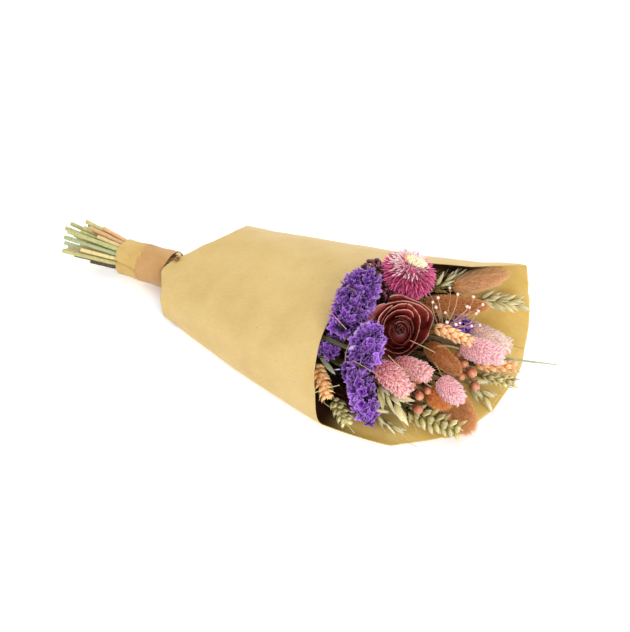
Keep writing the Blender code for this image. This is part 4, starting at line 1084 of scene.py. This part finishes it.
def addWheat(heap, name, steps, plump, seed, shaggy=0.0, awn=0.0):
    # ear of wheat: plump ribbed grains in overlapping rows, each in a pointed husk
    base, axis, length, radius, turn = headFrame(name)
    rng = np.random.default_rng(seed)
    grain = spindleShape(1.0, 0.20 * plump, 10, 8, belly=0.42, blunt=0.8, ridge=0.04, ridges=4,
                         flat=0.85)
    husk = petalShape(1.08, 0.46 * plump, 8, 5, cup=0.75, curl=0.0, widest=0.42, tip=1.2, keel=0.3)
    addShape(heap, spindleShape(length * 0.95, radius * 0.32, 8, 6), turn, base, tone=0.2)
    size = min(13.0, length / steps * 2.1)
    for i in range(steps):
        t = (i + 0.2) / steps
        for k in range(4):
            a = k * math.tau / 4 + (math.tau / 8 if i % 2 else 0) + rng.uniform(-0.1, 0.1)
            side = outward(turn, a)
            slim = (1 - 0.30 * t) * (0.8 + 0.2 * min(1, 3 * t))
            along = unit(axis * (1.9 - shaggy) + side * (1 + shaggy * rng.uniform(0, 1)))
            across = unit(np.cross(side, along))
            frameOf = np.stack([across, np.cross(along, across), along], 1)
            if frameOf[:, 1] @ side < 0:
                frameOf[:, 0] *= -1
                frameOf[:, 1] *= -1
            root = base + axis * length * t * 0.88 + side * radius * 0.12
            tone = rng.uniform(0, 1)
            big = size * slim * rng.uniform(0.92, 1.05)
            addShape(heap, grain, frameOf, root, big, tone=tone)
            for fork in (-1, 1):
                leaf = unit(along + across * 0.10 * fork)
                fold = np.stack([unit(np.cross(frameOf[:, 1], leaf)), frameOf[:, 1], leaf], 1)
                addShape(heap, husk, fold, root + across * fork * big * 0.05, big, tone=tone)
            if awn:
                tip = root + along * big
                way = unit(along + axis * 0.6 + rng.normal(0, 0.15, 3))
                end = tip + way * awn * rng.uniform(0.5, 1)
                line = [tip - along * 1.5, (tip + end) / 2, end]
                addShape(heap, tubeShape(line, [0.28, 0.2, 0.08], 4), tone=tone)


def addTwig(heap, points, radii, tone=0.5, steps=4):
    addShape(heap, tubeShape(smoothLine(points, steps), radii, 6), slot=1, tone=tone)


def addOat(heap, name, count, size, opening, seed, awn=8.0):
    # oat: hanging spikelets, each of two long boat-shaped glumes round a grain
    base, axis, length, _, turn = headFrame(name)
    rng = np.random.default_rng(seed)
    glume = petalShape(1.0, 0.27, 10, 7, cup=0.8, curl=0.10, widest=0.40, tip=1.2, keel=0.25)
    grain = spindleShape(0.8, 0.07, 8, 8, belly=0.4, blunt=0.8)
    tip = base + axis * length * 0.86
    addTwig(heap, [base - axis * 2, base + axis * length * 0.4, tip], [0.9, 0.7, 0.35])
    for i in range(count):
        t = i / max(1, count - 1)
        a = i * goldenAngle + 0.4
        side = outward(turn, a)
        along = unit(axis * (1.7 + 0.9 * t) + side + rng.normal(0, 0.08, 3))
        root = base + axis * length * 0.66 * t + side * 0.6
        big = size * rng.uniform(0.85, 1.05)
        tone = rng.uniform(0, 1)
        for fork in (-1, 1):
            across = unit(np.cross(along, side) + rng.normal(0, 0.1, 3))
            leaf = unit(along + across * opening * fork)
            out = unit(across * fork - leaf * (across * fork @ leaf))
            addShape(heap, glume, faced(leaf, out), root, big, tone=tone + 0.1 * fork)
        addShape(heap, grain, turnTo(along), root, big, tone=tone * 0.6)
        if awn:
            start = root + along * big * 0.5
            end = root + along * (big + awn * rng.uniform(0.3, 1)) + rng.normal(0, 1.0, 3)
            addShape(heap, tubeShape([start, (start + end) / 2 + rng.normal(0, 0.4, 3), end],
                                     [0.22, 0.16, 0.07], 4), tone=tone)


def addFlax(heap, name, bolls, seed):
    # flax: round bolls of about 8 mm with a small beak, in five dry sepals
    base, axis, length, *_ = headFrame(name)
    rng = np.random.default_rng(seed)
    boll = ballShape(1.0, 20, 12)
    beak = spindleShape(0.75, 0.16, 6, 4, belly=0.3, blunt=0.8)
    sepal = petalShape(1.35, 0.75, 6, 5, cup=0.5, curl=-0.8, widest=0.4)
    addTwig(heap, [base - axis * 2, base + axis * length * 0.5, base + axis * length * 0.9],
            [0.7, 0.5, 0.35], tone=0.4)
    for i, (*centre, size) in enumerate(bolls):
        centre = vec(*centre)
        foot = base + axis * length * max(0.0, min(0.8, (i + 0.3) / len(bolls) - 0.2))
        lean = unit(centre - foot + axis * 3)
        addShape(heap, boll, turnTo(lean, i), centre, (size, size, size * 1.04),
                 tone=rng.uniform(0, 1))
        addShape(heap, beak, turnTo(lean), centre + lean * size * 0.9, size, tone=0.1)
        for k in range(5):
            a = math.tau * k / 5 + i
            out = outward(turnTo(lean), a)
            along = unit(out - lean * 0.1)
            back = unit(np.cross(np.cross(along, lean), along)) * -1
            addShape(heap, sepal, faced(along, back), centre - lean * size * 0.98, size,
                     slot=1, tone=0.5)
        bend = (foot + centre - lean * size) / 2 + rng.normal(0, 0.8, 3)
        addTwig(heap, [foot, bend, centre - lean * size * 0.9], [0.45, 0.4, 0.5], steps=5)


def addSpray(heap, name, ends, seed):
    # gypsophila: thin branches that arch over and end in one tiny bud each
    base, axis, length, *_ = headFrame(name)
    rng = np.random.default_rng(seed)
    crown = base + axis * length
    bud = spindleShape(1.0, 0.5, 10, 8, belly=0.5, blunt=0.6, ridge=0.06, ridges=5)
    addTwig(heap, [base, base + axis * length * 0.5, crown], [0.7, 0.6, 0.5])
    for end in ends:
        end = vec(*end)
        start = crown - axis * rng.uniform(4, 12)
        swing = vec(rng.uniform(-3, 3), rng.uniform(-4, 4), 0)
        first = start + (end - start) * 0.35 + swing + vec(0, 0, rng.uniform(0, 3))
        second = start + (end - start) * 0.85 + swing * 0.8 + vec(0, 0, -rng.uniform(1, 3))
        line = smoothLine([start, first, second, end], 8)
        addShape(heap, tubeShape(line, [0.26, 0.2, 0.17], 6), slot=1, tone=rng.uniform(0, 1))
        lean = unit(line[-1] - line[-5])
        size = rng.uniform(2.0, 2.6)
        addShape(heap, bud, turnTo(lean), end - lean * size * 0.3, (size, size, size * 1.2),
                 tone=rng.uniform(0, 1))
        addShape(heap, spindleShape(1.0, 0.3, 6, 4), turnTo(lean), end + lean * size * 0.8,
                 (0.8, 0.8, 1.0), slot=2, tone=0.2)


flaxBolls = {     # centre and radius of each boll, mm
    "flax_1": ((90, -53, 46, 3.2), (89, -60, 47, 2.4), (100, -59, 45, 2.8), (97, -66, 45, 3.3),
               (89, -70, 43, 2.6), (84, -55, 48, 2.6)),
    "flax_2": ((111, -16, 38, 3.3), (119, -20, 36, 3.9), (114, -28, 37, 3.0), (126, -30, 35, 3.5),
               (105, -12, 41, 2.8)),
    "flax_3": ((98, -69, 34, 3.6),),
}
sprayEnds = (
    (65, 11, 74), (81, 20, 71), (89, 16, 71), (100, 20, 70), (108, 18, 68), (78, 5, 72),
    (77, -3, 74), (81, -6, 74), (89, -6, 72), (100, 8, 71), (102, 8, 71), (108, 9, 69),
    (108, 6, 69), (101, -7, 68), (114, 0, 66), (109, -5, 67), (93, -13, 70), (99, -11, 69))
headMakers = {
    "statice": addStatice, "strawflower": addStrawflower, "rose": addRose,
    "burgundy_buds": addBuds, "bunny_tail": addPlume, "phalaris": addCanary,
    "orange_wheat": addWheat, "green_wheat": addWheat, "oat": addOat, "flax": addFlax,
    "baby_breath": addSpray}
headSettings = {
    "statice_1": {"count": 128, "cupSize": 3.7, "seed": 1, "flare": 0.45},
    "statice_2": {"count": 38, "cupSize": 3.0, "seed": 2},
    "statice_3": {"count": 78, "cupSize": 3.7, "seed": 3},
    "statice_4": {"count": 92, "cupSize": 3.6, "seed": 4},
    "statice_5": {"count": 30, "cupSize": 2.9, "seed": 5},
    "strawflower": {"rows": 13, "florets": 170, "disc": (7.0, 3.8), "seed": 12},
    "burgundy_buds": {"count": 230, "seed": 31},
    "bunny_tail_1": {"hairs": 9000, "hairMm": 7.0, "seed": 11, "blunt": 0.6, "droop": 1.1},
    "bunny_tail_2": {"hairs": 9000, "hairMm": 4.6, "seed": 12, "blunt": 0.55, "droop": 0.8},
    "bunny_tail_3": {"hairs": 9000, "hairMm": 3.0, "seed": 13, "blunt": 0.36, "droop": 0.5},
    "bunny_tail_4": {"hairs": 12000, "hairMm": 8.0, "seed": 14, "blunt": 0.42, "droop": 0.8},
    "bunny_tail_5": {"hairs": 4200, "hairMm": 5.0, "seed": 15, "blunt": 0.4, "droop": 0.6},
    "phalaris_1": {"count": 640, "seed": 21, "deep": 0.42},
    "phalaris_2": {"count": 540, "seed": 22, "deep": 0.3},
    "phalaris_3": {"count": 500, "seed": 23},
    "phalaris_4": {"count": 800, "seed": 24},
    "phalaris_5": {"count": 840, "seed": 25},
    "orange_wheat_1": {"steps": 7, "plump": 1.0, "seed": 31},
    "orange_wheat_2": {"steps": 7, "plump": 0.8, "seed": 32, "shaggy": 0.1, "awn": 5},
    "orange_wheat_3": {"steps": 8, "plump": 1.15, "seed": 33, "shaggy": 0.7, "awn": 3},
    "green_wheat_1": {"steps": 6, "plump": 1.2, "seed": 34, "shaggy": 0.6, "awn": 2},
    "green_wheat_2": {"steps": 8, "plump": 1.05, "seed": 35, "shaggy": 0.75, "awn": 2},
    "green_wheat_3": {"steps": 7, "plump": 0.95, "seed": 36, "shaggy": 0.2, "awn": 5},
    "oat_1": {"count": 8, "size": 14, "opening": 0.2, "seed": 41, "awn": 6},
    "oat_2": {"count": 13, "size": 15, "opening": 0.24, "seed": 42, "awn": 6},
    "oat_3": {"count": 5, "size": 21, "opening": 0.3, "seed": 43, "awn": 3},
    "oat_4": {"count": 5, "size": 18, "opening": 0.15, "seed": 44},
    "oat_5": {"count": 4, "size": 13, "opening": 0.15, "seed": 45, "awn": 10},
    "flax_1": {"bolls": flaxBolls["flax_1"], "seed": 51},
    "flax_2": {"bolls": flaxBolls["flax_2"], "seed": 52},
    "flax_3": {"bolls": flaxBolls["flax_3"], "seed": 53},
    "baby_breath": {"ends": sprayEnds, "seed": 61},
}
headMaterials = {
    "statice": [staticeCup, staticeCore],
    "strawflower": [strawBract, strawPale, strawBoss, strawRing],
    "rose": [roseLeather, sepalGreen], "burgundy_buds": [berryDark],
    "bunny_tail": [plumeHair], "bunny_tail_2": [plumeBrown], "bunny_tail_3": [plumeBrown],
    "bunny_tail_4": [plumeWarm], "bunny_tail_5": [plumeRust],
    "phalaris": [canaryChaff, canaryRose], "phalaris_1": [canaryRose, canaryDeep],
    "phalaris_2": [canaryRose, canaryDeep], "phalaris_5": [canaryPale, canaryRose],
    "orange_wheat": [orangeHusk], "orange_wheat_3": [orangeHuskPaintedLight], "green_wheat": [greenHusk],
    "oat": [oatGlume, stemMaterials["moss"]], "flax": [flaxBoll, stemMaterials["rust"]],
    "baby_breath": [budPeach, twigPeach, berryDark], "grass_awn": [], "filler_stem": [],
}
for number, name in enumerate(heads):
    kind = kindOf(name)
    heap = newHeap()
    materials = list(headMaterials.get(name) or headMaterials[kind])
    tint = stemMaterials[stemTints.get(name) or stemTints[kind]]
    if kind in headMakers:
        headMakers[kind](heap, name, **headSettings.get(name, {}))
    node = name
    if name in ownStems:
        finishPiece(name + "Head", heap, materials, [name])
        heap, materials, node = newHeap(), [], name + "_stem"
    addStem(heap, name, node, slot=len(materials), tone=(number * 0.37) % 1)
    if name == "grass_awn":
        base, axis, length, *_ = headFrame(name)
        blade = smoothLine([base - axis * 3, base + axis * length * 0.5, base + axis * length], 6)
        addShape(heap, tubeShape(blade, [1.1, 0.95, 0.75, 0.4], 8), slot=0, tone=0.5)
    materials += [tint, stemPith]
    pieceName = "".join(part.title() if i else part for i, part in enumerate(node.split("_")))
    finishPiece(pieceName, heap, materials, [node])


# dark dry leaves and chaff deep in the bunch, mostly painted shade filling the deep gaps, and the
# loose straws that lie over the flowers

shadeLeafRegions = (  # how many leaves, box they start in, length range, lean, top limit
    {"leaves": 560, "from": (8, -66, 14), "to": (94, 34, 58), "lengthMm": (9, 20),
     "lean": (0.9, 0, 0.3), "top": 58, "fall": 22},
    {"leaves": 120, "from": (6, -84, 10), "to": (52, -64, 26), "lengthMm": (8, 16),
     "lean": (0.9, 0.1, 0.1), "top": 30, "fall": 6},
    {"leaves": 90, "from": (56, 30, 40), "to": (76, 60, 58), "lengthMm": (8, 14),
     "lean": (0.9, 0.1, 0.0), "top": 60, "fall": 8})


def insidePaper(point, margin=3.0):
    far = np.interp(point[0], wrapper["stations"], wrapper["far"])
    near = np.interp(point[0], wrapper["stations"], wrapper["near"])
    high = np.interp(point[0], wrapper["stations"], wrapper["high"])
    y = (point[1] - (far + near) / 2) / ((far - near) / 2 - margin)
    z = (point[2] - high / 2) / (high / 2 - margin)
    return (abs(y) ** 3 + abs(z) ** 3) < 1


def makeShadeLeaves(regions, mostTries=20000):
    rng = np.random.default_rng(77)
    heap = newHeap()
    leaves = [petalShape(1.0, wide, 7, 5, cup=0.3, curl=curl, widest=0.5, tip=1.2, keel=0.2,
                         wave=0.15)
              for wide, curl in ((0.10, 0.5), (0.16, -0.4), (0.07, 0.9), (0.22, 0.3))]
    for settings in regions:
        low, high = vec(*settings["from"]), vec(*settings["to"])
        made = tries = 0
        while made < settings["leaves"] and tries < mostTries:
            tries += 1
            root = low + (high - low) * rng.uniform(0, 1, 3)
            size = rng.uniform(*settings["lengthMm"])
            lean = unit(vec(*settings["lean"]) + rng.normal(0, 0.4, 3))
            tip = root + lean * size
            share = (root[0] - low[0]) / (high[0] - low[0])
            if (tip[2] > settings["top"] - settings["fall"] * share or tip[2] < 2
                    or not insidePaper(root) or not insidePaper(tip)):
                continue
            addShape(heap, leaves[made % 4], turnTo(lean, rng.uniform(0, 6.3)), root, size,
                     tone=rng.uniform(0, 1), slot=int(made % 3 > 0))
            made += 1
    finishPiece("shadeFillerLeaves", heap, [shadeLeafDark, shadeLeafBrown])


straws = (    # points in mm, radius, material
    (((27, -44, 103), (33, -46, 104), (38, -49, 102)), 0.35, 0),
    (((23, -46, 102), (22, -53, 102), (23, -58, 99)), 0.4, 2),
    (((23, -66, 97), (32, -72, 99), (43, -77, 97)), 0.45, 2),
    (((44, -56, 92), (47, -61, 92), (48, -71, 91), (47, -78, 88), (47, -85, 83), (48, -88, 76)),
     0.4, 2),
    (((58, -97, 92), (65, -95, 88), (71, -90, 80), (76, -86, 72)), 0.35, 0),
    (((75, -76, 86), (83, -76, 80), (93, -65, 62), (104, -62, 54)), 0.4, 0),
    (((36, -111, 61), (41, -103, 60), (47, -94, 58)), 0.45, 1),
    (((96, -37, 69), (103, -31, 67), (109, -27, 64)), 0.55, 0),
    (((82, -56, 86), (92, -56, 85), (101, -53, 80)), 0.35, 0),
    (((98, -44, 60), (104, -48, 57), (108, -50, 53)), 0.3, 0),
    (((90, -75, 31), (98, -76, 25), (104, -78, 14)), 0.4, 0),
    (((80, -86, 21), (92, -84, 14), (105, -82, 9)), 0.35, 0),
    (((56, -62, 44), (66, -80, 52), (80, -86, 46)), 0.35, 1),
    (((30, -86, 22), (44, -88, 18), (60, -94, 12)), 0.4, 1))
chips = (    # from, to, length and width of the bleached bits of bract on top
    ((51, -81, 96), (50, -75, 98), 6.5, 1.9), ((50, -90, 92), (55, -85, 94), 6.5, 2.6),
    ((41, -93, 70), (48, -91, 72), 6, 0.9), ((62, -90, 90), (62, -95, 86), 5, 1.0))


def makeStraws():
    heap = newHeap()
    for i, (points, radius, slot) in enumerate(straws):
        rod = tubeShape(smoothLine(points, 6), [radius * 0.8, radius * 0.6], 7)
        addShape(heap, rod, tone=(i * 0.3) % 1, slot=slot)
    # flat grey-green blade under the small statice
    blade = petalShape(25, 3.8, 12, 5, cup=0.35, curl=0.25, widest=0.5, tip=0.6, keel=0.3)
    start, end = vec(17, -70, 53), vec(39, -83, 51)
    addShape(heap, blade, turnTo(end - start, 0.2), start, tone=0.6, slot=3)
    for a, b, size, wide in chips:
        chip = petalShape(size, wide, 6, 4, cup=0.3, curl=0.2, widest=0.6, tip=0.5, foot=0.5)
        addShape(heap, chip, turnTo(vec(*b) - vec(*a), 0.4), vec(*a), tone=0.6, slot=4)
    finishPiece("looseStraws", heap, [strawStem, strawGreen, strawRose, stemMaterials["blade"],
                                      staticeBract])


makeShadeLeaves(shadeLeafRegions)
makeStraws()


# studio: pale floor, soft lights and the camera

def makeStudio():
    floorMaterial, place, *_ = startMaterial("lit white studio board")
    closeMaterial(floorMaterial, linear("#FFFFFF"), noiseOf(floorMaterial, place, 3.0),
                  bumpMm=0.02, bumpShare=0.1,
                  **{"Roughness": 0.95, "Specular IOR Level": 0.1,
                     "Emission Color": linear("#FFFFFF"), "Emission Strength": 0.16})
    heap = newHeap()
    ticks = np.linspace(-3000, 3000, 5)
    under = np.full((5, 5), -0.3)     # a little below the paper
    addShape(heap, gridShape(np.stack([*np.meshgrid(ticks, ticks), under], -1)))
    verts = np.concatenate(heap["verts"]) * 0.001
    mesh = bpy.data.meshes.new("studioFloor")
    mesh.from_pydata(verts.tolist(), [], heap["faces"][0].tolist())
    mesh.materials.append(floorMaterial)
    floor = linkThing("studioFloor", mesh)
    world = bpy.data.worlds.new("soft studio")
    world.use_nodes = True
    world.node_tree.nodes["Background"].inputs["Color"].default_value = (1.0, 1.0, 1.0, 1.0)
    world.node_tree.nodes["Background"].inputs["Strength"].default_value = 0.6
    bpy.context.scene.world = world
    bpy.context.scene.view_settings.view_transform = "Standard"
    lights = (  # name, place in metres, size, watts, aim
        ("keySoftbox", (0.8, -0.8, 0.8), 0.5, 11.6, (0.05, -0.02, 0.04)),
        ("backSoftbox", (-0.15, 1.0, 0.65), 0.8, 7.5, (0.0, 0.0, 0.04)),
        ("topSoftbox", (-0.3, -0.2, 1.3), 0.8, 3.5, (0.0, 0.0, 0.04)),
        ("sideSoftbox", (-0.9, -0.6, 0.6), 0.7, 2.5, (-0.05, 0.0, 0.03)))
    for name, place, size, watts, aim in lights:
        data = bpy.data.lights.new(name, "AREA")
        data.shape, data.size, data.energy = "SQUARE", size, watts
        light = linkThing(name, data)
        light.location = place
        aimAt(light, aim)


def aimAt(thing, target):
    way = Vector(target) - Vector(thing.location)
    thing.rotation_mode = "QUATERNION"
    thing.rotation_quaternion = way.to_track_quat("-Z", "Y")


def makeCamera(target=(-0.028, 0.010, 0.0), away=1.0, azimuth=28.0, elevation=45.0, lens=70.0):
    a, e = math.radians(azimuth), math.radians(elevation)
    data = bpy.data.cameras.new("camera")
    data.lens, data.sensor_width = lens, 36.0
    data.clip_start, data.clip_end = 0.05, 20.0
    camera = linkThing("camera", data)
    way = vec(math.sin(a) * math.cos(e), -math.cos(a) * math.cos(e), math.sin(e))
    camera.location = vec(*target) + away * way
    aimAt(camera, target)
    bpy.context.scene.camera = camera


makeStudio()
makeCamera()
print("studio and camera made")
